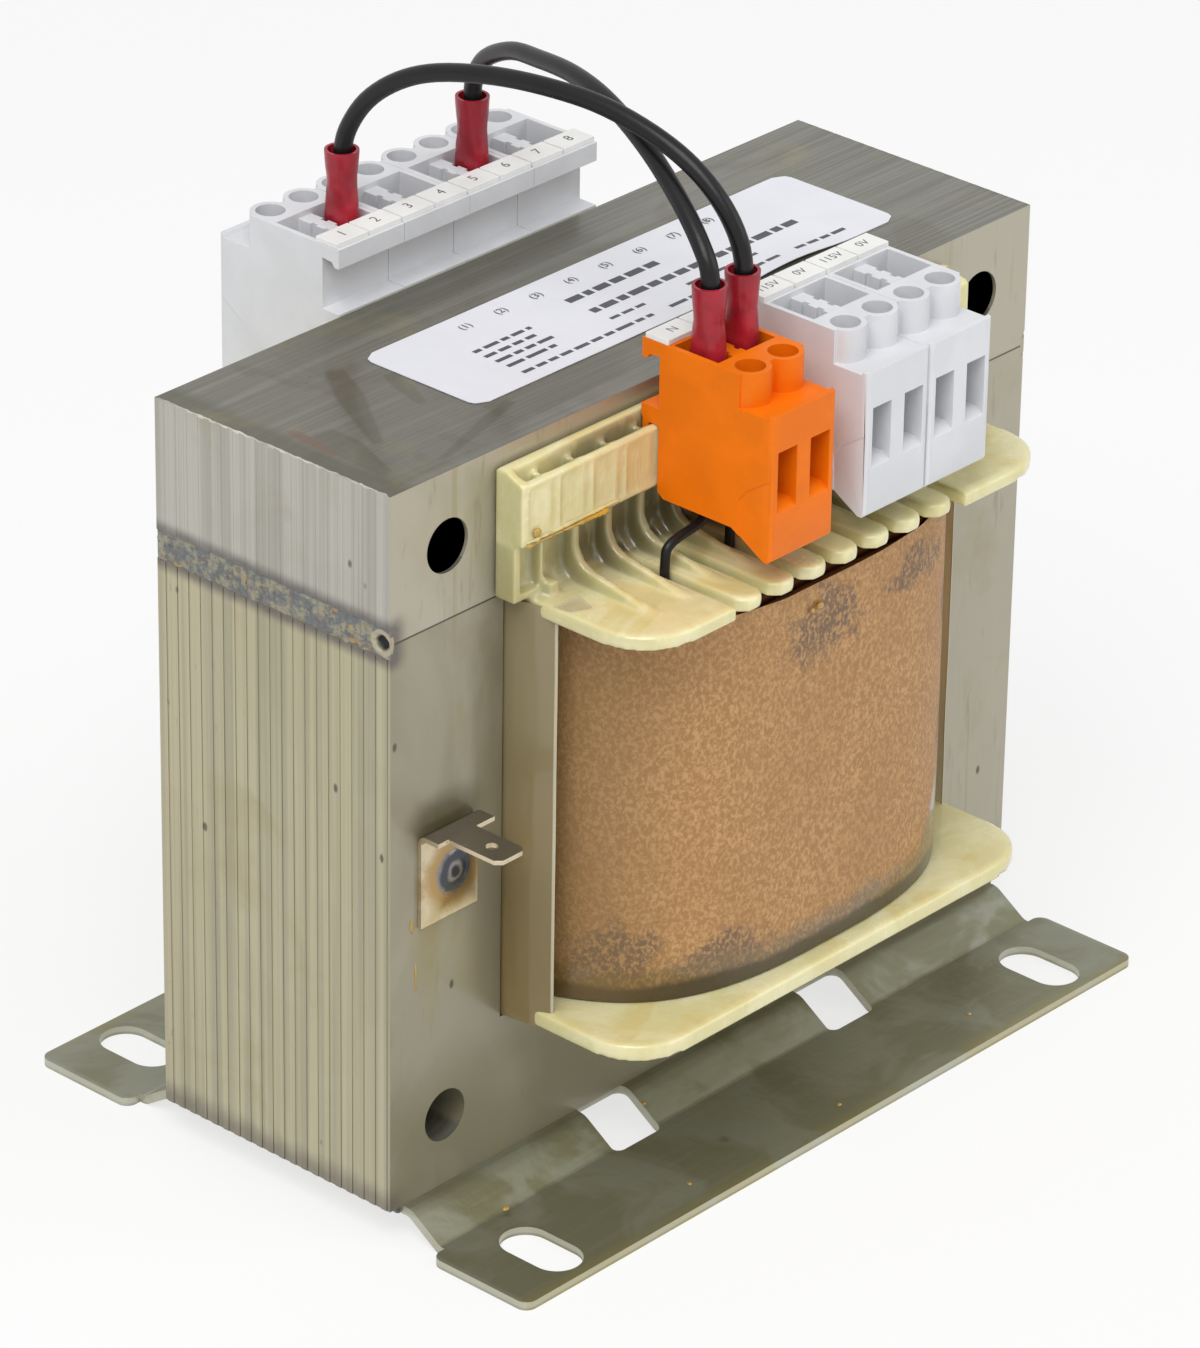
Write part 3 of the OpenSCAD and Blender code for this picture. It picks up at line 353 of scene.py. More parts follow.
def nylonFinish(c):
    f = Finish("nylon")
    nx, ny, nz = f.facing()
    reach = f.y.size() - c["face"]          # distance in front of the core
    over = f.z - c["comb"]
    cloud = f.speckle(0.09, 4, 0.6, warp=0.5)
    tone = f.blend(cloud.between(0.4, 0.62), c["body"], c["pale"])
    # painted shade on the left-facing sides of the fingers and ribs near the comb
    tone = f.blend(nx.between(-0.4, -0.8) * over.between(-3, 1) * 0.5, tone, c["ribSideShade"])
    # painted shade in the valleys under the panel, darker over the inner lobe
    well = (reach + over * 0.55).between(15, 4.0) * over.between(-0.6, 0.6)
    well = well * (c["panel"] + 0.2 - f.z).between(-0.2, 1.2)
    inner = f.x.between(-46.5, -33)
    tone = f.blend(well * (0.35 + inner * 0.5), tone, c["paintedShade"])
    # painted shadow in the narrow cell beside the core, over the inner lobe
    cell = over.between(11, 12.5) * (reach - 2).between(0, 0.3) * (4.6 - reach).between(0, 0.3)
    tone = f.blend(cell * inner * 0.55, tone, c["paintedShade"])
    # varnish that has settled on flat parts, in patches
    pool = f.speckle(0.055, 3, 0.5, warp=1.2, at=f.stretch(1, 1.4, 1)).between(0.5, 0.62) * nz.between(0.6, 0.9)
    tone = f.blend(pool * 0.35, tone, c["varnish"])
    run = f.speckle(0.3, 3, 0.6, at=f.stretch(1, 1, 0.22)).between(0.52, 0.66) * ny.size().between(0.6, 0.9)
    tone = f.blend(run * 0.28, tone, c["pale"])
    hem = over.between(10.8, 9.6) * (reach - 5.5).between(0, 0.4) * over.between(9, 10)
    tone = f.blend(hem * 0.4, tone, c["varnish"])
    ripple = f.speckle(0.22, 3, 0.5)
    f.set(colour=tone, roughness=cloud * 0.12 + 0.2, coat=0.5, coatRoughness=0.08,
          subsurface=0.3, subsurfaceScale=0.003, subsurfaceRadius=(1.0, 0.85, 0.35),
          normal=f.bump(ripple + run * 0.25, 0.0007, 0.35))


nylonFinish(nylon)

copper = {"gap": (0.10, 0.03, 0.012), "turn": (0.5, 0.19, 0.07), "tape": (0.012, 0.011, 0.010),
          "bare": (0.16, 0.06, 0.025)}


def copperFinish(c):
    f = Finish("copper")
    # bands of wire turns: painted highlights along each turn and painted shade in the gaps between them
    turns = f.node("ShaderNodeTexWave", {"bands_direction": "Z", "wave_profile": "SIN"},
                   {"Vector": f.where, "Scale": 0.16, "Distortion": 0.3, "Detail": 1.0}, 1)
    tone = f.blend(turns, c["gap"], c["turn"])
    onTop = f.facing()[2].between(0.5, 0.8)
    ends = f.blend(f.speckle(0.35, 4).between(0.52, 0.7), c["tape"], c["bare"])
    tone = f.blend(onTop, tone, ends)
    f.set(colour=tone, roughness=turns * 0.15 + 0.25, metal=0.4,
          normal=f.bump(turns, 0.0003, 0.5))


copperFinish(copper)

board = {"fleck": (0.58, 0.345, 0.145), "ground": (0.345, 0.172, 0.058), "dark": (0.10, 0.075, 0.062),
         "stain": (0.035, 0.022, 0.008), "amber": (0.40, 0.17, 0.02), "soakAndShadeBrown": (0.16, 0.095, 0.025),
         "shade": (0.10, 0.062, 0.028), "bottom": 34.1, "bead": (-5.5, -50.2, 96.2, 0.9, 0.6),
         # damp dark places: centre and half sizes
         "blots": [(-39, -39.5, 42.5, 9, 6), (-23, -48, 39.5, 10, 4.5), (-3, -50, 92, 10, 7), (20, -48, 93, 9, 4),
                   (36, -42, 58, 6, 8), (33, -43, 80, 3, 5), (-30, 48, 42, 12, 6), (20, 48, 60, 9, 5)]}


def boardFinish(c):
    f = Finish("board")
    fleck = f.speckle(1.5, 3, 0.6, at=f.stretch(1, 1, 0.8), warp=0.5)
    fibre = f.speckle(3.4, 3, 0.6)
    cloud = f.speckle(0.06, 4, 0.55)
    tone = f.blend(fleck.between(0.4, 0.66) * 0.75 + 0.1, c["ground"], c["fleck"])
    tone = f.blend(cloud.between(0.35, 0.7) * 0.35, tone, c["ground"])
    dust = f.speckle(0.22, 5, 0.65, at=f.stretch(1, 1, 1, (20, 0, 0)))
    worn = fleck.between(0.62, 0.42)
    for x, y, z, wide, high in c["blots"]:
        flat = ((f.x - x) * (1 / wide)) ** 2 + ((f.y - y) * (1 / wide)) ** 2
        near = (flat + ((f.z - z) * (1 / high)) ** 2) ** 0.5
        tone = f.blend((near + dust * 2.4 - 1.2).between(1.1, 0.5) * (0.2 + worn * 0.5), tone, c["dark"])
    above = f.z - c["bottom"]
    corner = f.x.between(24, 36) * 12
    wander = f.speckle(0.09, 3, 0.55, at=f.stretch(1, 1, 0)) * 9 + 1
    soak = (above - wander - corner).between(2.0, -1.5)
    tone = f.blend(soak * (0.6 + worn * 0.3), tone, c["soakAndShadeBrown"])
    tone = f.blend((above - wander * 0.35).between(1.6, 0.1) * 0.93, tone, c["stain"])
    tone = f.blend(spot(f, *c["bead"]), tone, c["amber"])
    left = f.x.between(-44.2, -44.9)
    tone = f.blend(left * 0.55, tone, c["shade"])
    # painted shade: the wrap darkens brown towards its left side, which faces away from the light
    tone = f.blend(f.x.between(-28, -46) * 0.55, tone, c["soakAndShadeBrown"])
    gloss = 0.6 - soak * 0.25 - left * 0.2
    f.set(colour=tone, roughness=gloss, coat=soak * 0.6,
          normal=f.bump(fibre * 0.6 + fleck * 0.4, 0.00016, 0.4))


boardFinish(board)

sheetFilm = {"high": (0.33, 0.275, 0.155), "low": (0.27, 0.20, 0.085), "right": (0.86, 0.76, 0.48),
             "flap": (0.78, 0.7, 0.45), "edge": (0.55, 0.5, 0.36)}


def filmFinish(c):
    f = Finish("film")
    fold = f.speckle(0.05, 2, at=f.stretch(1, 2.2, 0.35))
    flap = f.z.between(105.2, 105.4)
    edge = f.y.size().between(33.55, 33.8)
    tone = f.blend(f.z.between(100, 40), c["high"], c["low"])
    # painted light: the right liner gets a much paler tone than the left one
    tone = f.blend(f.x.between(0, 20), tone, c["right"])
    tone = f.blend(flap, tone, c["flap"])
    tone = f.blend(edge, tone, c["edge"])
    f.set(colour=tone, roughness=fold * 0.1 + 0.06,
          alpha=(0.74 + edge * 0.2) * (1 - flap * 0.7), normal=f.bump(fold, 0.002, 0.5))


filmFinish(sheetFilm)

plastics = {                                # colour, how far it varies, roughness, clear coat, shine, metal
    "blackVinyl": ((0.009, 0.009, 0.0095), 0.15, 0.36, 0.1, 0.25, 0),
    "orangeBlock": ((0.85, 0.178, 0.0), 0.05, 0.5, 0, 0.25, 0),
    "greyBlock": ((0.70, 0.71, 0.735), 0.03, 0.42, 0, 0.5, 0),
    "whiteTag": ((0.84, 0.835, 0.81), 0.03, 0.45, 0, 0.5, 0),
    "platedSteel": ((0.6, 0.58, 0.52), 0.1, 0.3, 0, 0.5, 0.9),
    "redSleeve": ((0.36, 0.016, 0.03), 0.22, 0.32, 0.25, 0.25, 0),
    "labelPaper": ((0.78, 0.785, 0.83), 0.015, 0.4, 0, 0.5, 0),
    "printInk": ((0.07, 0.07, 0.085), 0.1, 0.5, 0, 0.5, 0),
    "amberVarnish": ((0.50, 0.30, 0.035), 0.25, 0.08, 1.0, 0.5, 0),
    "clearVarnish": ((0.50, 0.49, 0.42), 0.25, 0.1, 1.0, 0.5, 0),
    "paleVarnish": ((0.62, 0.55, 0.25), 0.15, 0.12, 1.0, 0.5, 0),
}


def plasticFinish(name, colour, vary, roughness, coat, shine, metal):   # moulded, sleeved or varnished
    f = Finish(name)
    cloud = f.speckle(0.12, 3)
    fine = f.speckle(2.2, 3)
    dark, pale = [c * (1 - vary) for c in colour], [min(1, c * (1 + vary)) for c in colour]
    tone = f.blend(cloud.between(0.35, 0.65), dark, pale)
    f.set(colour=tone, roughness=fine * 0.08 + (roughness - 0.04), coat=coat, coatRoughness=0.15,
          shine=shine, metal=metal, normal=f.bump(fine * 0.4 + cloud, 0.00012, 0.4))


for name, values in plastics.items():
    plasticFinish(name, *values)
print("finishes ready:", len(finishes))

finishNodes = {                             # finish: CAD nodes that wear it
    "coreSteel": ["e_stack"], "yokeSteel": ["i_yoke"], "baseZinc": ["base_plate"], "nylon": ["bobbin"],
    "weldBead": ["joint_weld_left", "joint_weld_right", "base_weld_left", "base_weld_right"],
    "brassTin": ["earth_tab", "contacts_front", "contacts_rear", "receptacles"],
    "copper": ["primary_winding", "secondary_winding"], "board": ["winding_barrier", "outer_wrap"],
    "film": ["liner_left", "liner_right"], "labelPaper": ["rating_label"],
    "blackVinyl": ["leadouts_front", "leadouts_rear", "jumper_lead_a", "jumper_lead_b"],
    "orangeBlock": ["terminal_orange"], "whiteTag": ["tags_front", "tags_rear"],
    "platedSteel": ["clamp_cages_front", "clamp_cages_rear", "clamp_screws_front", "clamp_screws_rear"],
}
nodeFinish = {node: finish for finish, nodes in finishNodes.items() for node in nodes}
for name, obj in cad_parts.items():
    finish = nodeFinish.get(name, "redSleeve" if name.startswith("sleeve") else "greyBlock")
    obj.data.materials.clear()
    obj.data.materials.append(finishes[finish])


# ---- making meshes ----

def addMesh(name, points, faces, finish):
    data = bpy.data.meshes.new(name)
    data.from_pydata([tuple(p) for p in points], [], faces)
    data.validate()
    data.materials.append(finishes[finish])
    obj = bpy.data.objects.new(name, data)
    bpy.context.collection.objects.link(obj)
    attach(obj, "root")
    return obj


def soften(obj, angle):                     # smooth shading, with edges sharper than the angle kept
    obj.data.shade_smooth()
    obj.data.set_sharp_from_angle(angle=math.radians(angle))
    return obj


def modify(obj, kind, **settings):
    modifier = obj.modifiers.new(kind.lower(), kind)
    for key, value in settings.items():
        setattr(modifier, key, value)
    return modifier


def roundEdges(obj, width):
    modify(obj, "BEVEL", width=width, segments=2, limit_method="ANGLE", angle_limit=math.radians(40),
           use_clamp_overlap=True, harden_normals=True)
    return soften(obj, 50)


def copySolid(node, name, finish):          # a clean copy of a CAD solid, joined into large faces
    work = bmesh.new()
    work.from_mesh(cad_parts[node].data)
    bmesh.ops.remove_doubles(work, verts=work.verts, dist=2e-6)
    bmesh.ops.dissolve_limit(work, angle_limit=math.radians(1), verts=work.verts, edges=work.edges)
    points = [v.co.copy() for v in work.verts]
    faces = [[v.index for v in f.verts] for f in work.faces]
    work.free()
    obj = addMesh(name, points, faces, finish)
    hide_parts(node)
    return obj


def loft(rings, capped=False, offset=0):    # skin over closed rings of equal count
    points = [p for ring in rings for p in ring]
    count = len(rings[0])
    faces = [(offset + j * count + i, offset + j * count + (i + 1) % count,
              offset + (j + 1) * count + (i + 1) % count, offset + (j + 1) * count + i)
             for j in range(len(rings) - 1) for i in range(count)]
    if capped:
        faces.append(tuple(offset + i for i in reversed(range(count))))
        faces.append(tuple(offset + (len(rings) - 1) * count + i for i in range(count)))
    return points, faces


def tubeLoft(rings):                        # the last ring joins the first again
    points, faces = loft(rings)
    count = len(rings[0])
    last = (len(rings) - 1) * count
    return points, faces + [(last + i, last + (i + 1) % count, (i + 1) % count, i) for i in range(count)]


def smoothPath(points, steps):              # a curve through the points, evenly eased
    pts = [Vector(p) for p in points]
    ends = [2 * pts[0] - pts[1]] + pts + [2 * pts[-1] - pts[-2]]
    path = []
    for i in range(1, len(ends) - 2):
        a, b, c, d = ends[i - 1:i + 3]
        for k in range(steps):
            t = k / steps
            path.append(0.5 * (2 * b + (c - a) * t + (2 * a - 5 * b + 4 * c - d) * t * t
                               + (3 * b - a - 3 * c + d) * t ** 3))
    return path + [pts[-1]]


def ringsAlong(path, radius, sides=20, ref=Vector((1, 0, 0))):
    rings = []
    for i, p in enumerate(path):
        along = (path[min(i + 1, len(path) - 1)] - path[max(i - 1, 0)]).normalized()
        u = along.cross(ref).normalized()
        v = along.cross(u)
        r = radius(i / (len(path) - 1)) if callable(radius) else radius
        rings.append([p + r * (math.cos(2 * math.pi * k / sides) * u + math.sin(2 * math.pi * k / sides) * v)
                      for k in range(sides)])
    return rings


def lengthOf(path):
    return sum((b - a).length for a, b in zip(path, path[1:]))


# ---- jumper leads, first because the rest stays clear of them ----

leads = {
    "diameter": 3.0 * mm,
    "turns": 5,                             # steps between two route points
    "a": [(-20.65, 37.9, 144.9), (-20.65, 37.9, 149.3), (-20.5, 36.8, 154.6), (-20, 33, 160.6),
          (-19.2, 26.9, 165.5), (-18.2, 19.3, 168.8), (-17, 8.3, 171.1), (-15.6, -2.7, 171.8),
          (-14.3, -12.5, 171.2), (-13.1, -22.7, 168.5), (-12.1, -29.9, 164.6), (-11.4, -35.2, 159.2),
          (-11.05, -37.9, 153), (-11.05, -37.9, 144.9)],
    "b": [(9.35, 37.9, 144.9), (9.35, 37.9, 148.8), (9.35, 37.5, 154), (7.7, 33.4, 159.4),
          (4.6, 25, 164), (1.3, 16.3, 166.2), (-2.4, 6.1, 168), (-6, -3.4, 168.4), (-9.1, -12.1, 167),
          (-12.1, -20.5, 164.4), (-15.2, -28.8, 160.6), (-17.7, -35.2, 156.4), (-18.55, -37.9, 152.3),
          (-18.55, -37.9, 144.9)],
}
leadPaths = {}
for key in ("a", "b"):
    path = smoothPath([[c * mm for c in p] for p in leads[key]], leads["turns"])
    points, faces = loft(ringsAlong(path, leads["diameter"] / 2), True)
    lead = soften(addMesh("jumperLead" + key.upper(), points, faces, "blackVinyl"), 60)
    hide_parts("jumper_lead_" + key)
    round(lengthOf(path), 4)
    leadPaths[key] = path
    print("jumper lead", key, "length", round(lengthOf(path) / mm, 1), "mm")


# ---- sleeves over the push-on receptacles ----

sleeveShape = {
    "sides": 32,
    "wall": 0.5 * mm,
    # height above the block, half width across the blade, half width along it, squareness, crease depth
    "rings": [(-9, 1.75, 2.95, 0.6, 0), (-3, 1.8, 2.98, 0.6, 0), (-0.5, 1.84, 2.95, 0.62, 0.02),
              (1.5, 1.95, 2.8, 0.7, 0.06), (3.2, 2.1, 2.6, 0.8, 0.1), (4.8, 2.28, 2.42, 0.92, 0.1),
              (6.2, 2.42, 2.5, 1, 0.07), (7.8, 2.6, 2.68, 1, 0.05), (9.4, 2.74, 2.76, 1, 0.03),
              (10.5, 2.82, 2.82, 1, 0.01), (10.8, 2.8, 2.8, 1, 0)],
}
blockTop = 140.3 * mm
sleeves = {
    "sleeve_rear_a": (leadPaths["a"][0], 1.3), "sleeve_rear_b": (leadPaths["b"][0], 4.1),
    "sleeve_front_a": (leadPaths["a"][-1], 2.2), "sleeve_front_b": (leadPaths["b"][-1], 5.6),
}


def sleeveRing(shape, spec, seed, inset):
    height, across, along, square, crease = spec
    ring = []
    for k in range(shape["sides"]):
        a = 2 * math.pi * k / shape["sides"]
        c, s = math.cos(a), math.sin(a)
        dent = crease * noise.noise(Vector((2.2 * c + seed, 2.2 * s, height * 0.55)))
        ring.append(Vector((((across - inset) * math.copysign(abs(c) ** square, c) + dent * c) * mm,
                            ((along - inset) * math.copysign(abs(s) ** square, s) + dent * s) * mm, height * mm)))
    return ring


def makeSleeve(node, foot, seed):
    specs = []
    for first, second in zip(sleeveShape["rings"], sleeveShape["rings"][1:]):
        specs += [tuple(p + (q - p) * k / 3 for p, q in zip(first, second)) for k in range(3)]
    specs.append(sleeveShape["rings"][-1])
    wall = sleeveShape["wall"] / mm
    rings = [sleeveRing(sleeveShape, s, seed, 0) for s in specs]
    rings += [sleeveRing(sleeveShape, s, seed, wall) for s in reversed(specs)]
    centre = Vector((foot[0], foot[1], blockTop))
    points, faces = tubeLoft([[centre + p for p in ring] for ring in rings])
    sleeve = soften(addMesh("sleeve" + node[6:].title().replace("_", ""), points, faces, "redSleeve"), 50)
    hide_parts(node)


for node, (foot, seed) in sleeves.items():
    makeSleeve(node, foot, seed)
print("sleeves:", len(sleeves))


# ---- the yoke, whose top is rolled flat where the outer legs keep their ridges ----

yokeShape = {"ridge": 0.2 * mm, "topDepth": 0.02 * mm, "sideDepth": 0.03 * mm}


def makeYoke(y):
    yoke = copySolid("i_yoke", "yokeStack", "yokeSteel")
    side, _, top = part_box("i_yoke")[1]
    for v in yoke.data.vertices:
        if v.co.z > top - y["ridge"]:
            v.co.z = top - y["topDepth"]
        if side - y["ridge"] < abs(v.co.x) < side - 0.05 * mm:
            v.co.x = math.copysign(side - y["sideDepth"], v.co.x)


makeYoke(yokeShape)


# ---- weld beads in the joint grooves, each with the crater where the arc stopped ----

beads = {"joint": 105.6, "side": 75.0, "groove": 4.0, "axis": 78.0, "half": 2.6, "build": 0.85, "depth": 24.96,
         "steps": 180, "across": 20, "craterY": -23.2, "craterRing": 1.75, "craterDip": 1.9}


def makeBead(node, name, side, b):
    rings = []
    for i in range(b["steps"] + 1):
        y = -b["depth"] + 2 * b["depth"] * i / b["steps"]
        wide = b["half"] * (0.93 + min(0.07, 0.14 * noise.noise(Vector((y * 0.6, side, 0)))))
        ripple = 1 + 0.14 * math.sin(y * 4.2 + 2 * noise.noise(Vector((y, 3, 0))))
        ripple += 0.3 * noise.noise(Vector((y * 1.3, 7, 0)))
        face, floor = [], []
        for k in range(b["across"] + 1):
            h = wide * (2 * k / b["across"] - 1)
            base = b["axis"] - math.sqrt(b["groove"] ** 2 - h * h)
            lump = 0.22 * noise.noise(Vector((y * 1.4, h * 1.6, side)))
            r = math.hypot(y - b["craterY"], h + 0.1)
            crater = 0.3 * math.exp(-((r - b["craterRing"]) / 0.5) ** 2) - b["craterDip"] * math.exp(-r ** 2)
            crown = base + (b["build"] * ripple + lump + crater) * (1 - (h / wide) ** 2)
            crown = max(base + 0.01, min(crown, b["side"] - 0.03))
            face.append((side * crown * mm, y * mm, (b["joint"] + h) * mm))
            floor.append((side * (base - 0.02) * mm, y * mm, (b["joint"] + h) * mm))
        rings.append(face + floor[::-1])
    points, faces = loft(rings, True)
    bead = soften(addMesh(name, points, faces, "weldBead"), 60)
    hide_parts(node)


makeBead("joint_weld_left", "jointWeldLeft", -1, beads)
makeBead("joint_weld_right", "jointWeldRight", 1, beads)
print("yoke and weld beads made")


# ---- outer wrap of the winding, and the clear liners beside it ----

wrap = {"x": 47.6, "y": 50.4, "power": 3.0, "low": 34.1, "high": 99.9, "thick": 0.6, "bulge": 0.25, "lip": 0.4,
        "levels": 36, "points": 208, "inner": 0.965}   # inner: how much of the plan the layers inside fill


def fullOutline(x, y, power, count):        # the swollen plan that a wound coil takes
    line = []
    for k in range(count):
        c, s = math.cos(2 * math.pi * k / count), math.sin(2 * math.pi * k / count)
        r = (abs(c) ** power + abs(s) ** power) ** (-1 / power)
        line.append((x * r * c, y * r * s))
    return line


def makeWrap(w):
    outline = fullOutline(w["x"], w["y"], w["power"], w["points"])
    rings = []
    for level in range(w["levels"] + 1):
        t = level / w["levels"]
        z = w["low"] + (w["high"] - w["low"]) * t
        swell = w["bulge"] * (max(0, math.sin(math.pi * t)) ** 0.6 - 1)
        ring = []
        for x, y in outline:
            out = swell + 0.2 * noise.noise(Vector((x * 0.05, y * 0.05, z * 0.03)))
            lip = 0.35 * noise.noise(Vector((x * 0.12, y * 0.12, 4))) if level == w["levels"] else 0
            away = Vector((x / w["x"], y / w["y"], 0)).normalized() * min(0.2, out)
            ring.append(((x + away.x) * mm, (y + away.y) * mm, (z + min(0, lip)) * mm))
        rings.append(ring)
    inner = fullOutline(w["x"] - w["thick"], w["y"] - w["thick"], w["power"], w["points"])
    rings.append([(x * mm, y * mm, (w["high"] - w["lip"]) * mm) for x, y in inner])
    rings.append([(x * mm, y * mm, w["low"] * mm) for x, y in inner])
    points, faces = tubeLoft(rings)
    sheet = soften(addMesh("outerWrap", points, faces, "board"), 50)
    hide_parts("outer_wrap")


def makeLayer(node, name, finish, w):   # pulled in at the corners to stay inside the wrap
    layer = copySolid(node, name, finish)
    for v in layer.data.vertices:
        x, y = abs(v.co.x) / mm / (w["x"] - 1), abs(v.co.y) / mm / (w["y"] - 1)
        over = (x ** w["power"] + y ** w["power"]) ** (1 / w["power"])
        if over > w["inner"]:
            v.co.x, v.co.y = v.co.x * w["inner"] / over, v.co.y * w["inner"] / over


makeWrap(wrap)
makeLayer("secondary_winding", "secondaryWinding", "copper", wrap)
makeLayer("winding_barrier", "windingBarrier", "board", wrap)

film = {"x": 49.6, "low": 31.0, "high": 105.0, "reach": 34.0, "thick": 0.2, "curl": 0.028, "rows": 30, "across": 48,
        # corners of the flap that is creased over the flange
        "flap": [(-48.2, -33.9, 105.6), (-43.4, -34.6, 106.0), (-44.6, -38.3, 105.75), (-47.6, -36.6, 105.5)]}


def filmPlace(side, y, z, depth, s):        # depth is 0 on the face towards the leg and 1 behind it
    reach = max(0, abs(y) - 25.5)
    wave = 0.25 * noise.noise(Vector((y * 0.12, z * 0.05, side))) * min(1, reach / 3)
    x = s["x"] - s["curl"] * reach ** 2 + min(0, wave) - depth * s["thick"]
    return (side * x * mm, y * mm, z * mm)


def makeFilm(node, name, side, s):
    rings = []
    line = [s["reach"] * (2 * k / s["across"] - 1) for k in range(s["across"] + 1)]
    for i in range(s["rows"] + 1):
        z = s["low"] + (s["high"] - s["low"]) * i / s["rows"]
        rings.append([filmPlace(side, y, z, 0, s) for y in line] + [filmPlace(side, y, z, 1, s) for y in line[::-1]])
    points, faces = loft(rings, True)
    if side < 0:
        start = len(points)
        points += [(x * mm, y * mm, z * mm) for x, y, z in s["flap"]]
        points += [(x * mm, y * mm, (z + s["thick"]) * mm) for x, y, z in s["flap"]]
        faces += [(start + 3, start + 2, start + 1, start), (start + 4, start + 5, start + 6, start + 7)]
        faces += [(start + k, start + (k + 1) % 4, start + 4 + (k + 1) % 4, start + 4 + k) for k in range(4)]
    sheet = soften(addMesh(name, points, faces, "film"), 40)
    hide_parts(node)


makeFilm("liner_left", "linerLeft", -1, film)
makeFilm("liner_right", "linerRight", 1, film)
print("wrap and liners made")


# ---- insulated lead-outs from the winding up to the blocks ----

leadouts = {"diameter": 1.6, "reach": 37.9, "start": 99.9, "bend": 107.0, "end": 112.6, "firstSlot": -27.5,
            "pitch": 7.5, "slots": 7, "front": (-14.8, 7.3, 22.3), "rear": (-24.4, -9.4, 5.6, 20.6)}


def leadoutTubes(name, poles, turned, lean, s):
    points, faces = [], []
    for i, x in enumerate(poles):
        place = round((x - s["firstSlot"]) / s["pitch"]) - (lean if i == 0 else 0)
        slot = s["firstSlot"] + s["pitch"] * max(0, min(s["slots"], place))
        dx = x - slot
        route = [(slot, s["start"]), (slot, s["bend"]), (slot + 0.12 * dx, 109.8), (x - 0.2 * dx, 111.0),
                 (x, s["end"] - 0.6), (x, s["end"])]
        path = smoothPath([(turned * a * mm, -turned * s["reach"] * mm, b * mm) for a, b in route], 6)
        more, sides = loft(ringsAlong(path, s["diameter"] / 2 * mm, 12, Vector((0, 1, 0))), True, len(points))
        points += more
        faces += sides
    tubes = soften(addMesh("leadouts" + name.title(), points, faces, "blackVinyl"), 60)
    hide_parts("leadouts_" + name)


halfPitch = leadouts["pitch"] / 2
frontPoles = [x + p * halfPitch for x in leadouts["front"] for p in (-1, 1)]
rearPoles = [x + p * halfPitch for x in leadouts["rear"] for p in (-1, 1)]
leadoutTubes("front", frontPoles, 1, 1, leadouts)
leadoutTubes("rear", [-x for x in rearPoles], -1, 0, leadouts)
print("lead-outs made")


# ---- rating label with plain print, and the marks on the tags ----

label = {"x": 6.4, "y": -0.5, "long": 99.0, "wide": 25.0, "corner": 2.5, "z": 130.62, "thick": 0.12, "lift": 0.85,
         "wave": (14.0, 46.0), "rows": 24, "columns": 80}


def labelHeight(x, y, s):                   # the front edge stands off the core beside the blocks
    low, high = s["wave"]
    along = math.sin(math.pi * min(1, max(0, (x - low) / (high - low)))) ** 2
    across = max(0, (-y - s["wide"] / 2 + 9) / 9) ** 1.5
    return s["z"] + s["lift"] * along * across + 0.03 * (1 + noise.noise(Vector((x * 0.09, y * 0.2, 0))))


def makeLabel(s):
    rows, columns = s["rows"], s["columns"]
    across = columns + 1                    # points in a row
    top, base = [], []
    for j in range(rows + 1):
        y = s["wide"] * (j / rows - 0.5)
        over = max(0, abs(y) - (s["wide"] / 2 - s["corner"]))
        end = s["long"] / 2 - s["corner"] + math.sqrt(max(0, s["corner"] ** 2 - over ** 2))
        for k in range(across):
            x, v = s["x"] + end * (2 * k / columns - 1), s["y"] + y
            height = labelHeight(x, y, s)
            top.append((x * mm, v * mm, (height + s["thick"]) * mm))
            base.append((x * mm, v * mm, height * mm))
    grid = [(j * across + i, j * across + i + 1, (j + 1) * across + i + 1, (j + 1) * across + i)
            for j in range(rows) for i in range(columns)]
    faces = grid + [tuple(len(top) + v for v in reversed(f)) for f in grid]
    rim = list(range(across)) + [j * across + columns for j in range(1, rows + 1)]
    rim += [rows * across + i for i in range(columns - 1, -1, -1)] + [j * across for j in range(rows - 1, 0, -1)]
    faces += [(a, len(top) + a, len(top) + b, b) for a, b in zip(rim, rim[1:] + rim[:1])]
    paper = soften(addMesh("ratingLabel", top + base, faces, "labelPaper"), 40)
    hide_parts("rating_label")


makeLabel(label)

printBars = {                               # left end, middle, length and height of each run, in mm on the label
    "fine": [(-36, 1.2, 13, 0.9), (-36, -1.2, 12, 0.9), (-36, -3.6, 14, 0.9), (-36, -6.0, 11, 0.9),
             (-36, -9.2, 30, 0.9), (-2, -9.2, 26, 0.9), (28, -9.2, 12, 0.9), (-12, -5.6, 8, 0.8), (6, -5.6, 18, 0.8)],
    "bold": [(-12, 3.6, 22, 1.6), (-12, -1.6, 50, 1.6)],
    "gap": 0.7, "thick": 0.015, "shortest": 1.6, "vary": 4.8, "least": 0.6,
}


def addPrint(s, bars):                      # rows of plain dashes that stand for small print
    points, faces = [], []
    for x0, y, length, height in bars["fine"] + bars["bold"]:
        x = x0
        word = 0
        low, high = y - height / 2, y + height / 2
        while x < x0 + length:
            word += 1
            run = bars["shortest"] + bars["vary"] * abs(noise.noise(Vector((x0 + word * 0.7, y, 1))))
            run = min(run, x0 + length - x)
            steps = max(1, int(run)) if run > bars["least"] else 0
            for k in range(steps):
                a, b = x + run * k / steps, x + run * (k + 1) / steps
                at = len(points)
                for px, py in ((a, low), (b, low), (b, high), (a, high)):
                    z = labelHeight(px + s["x"], py, s) + s["thick"] + bars["thick"]
                    points.append(((px + s["x"]) * mm, (py + s["y"]) * mm, z * mm))
                faces.append((at, at + 1, at + 2, at + 3))
            x += run + bars["gap"]
    ink = addMesh("labelPrint", points, faces, "printInk")


addPrint(label, printBars)


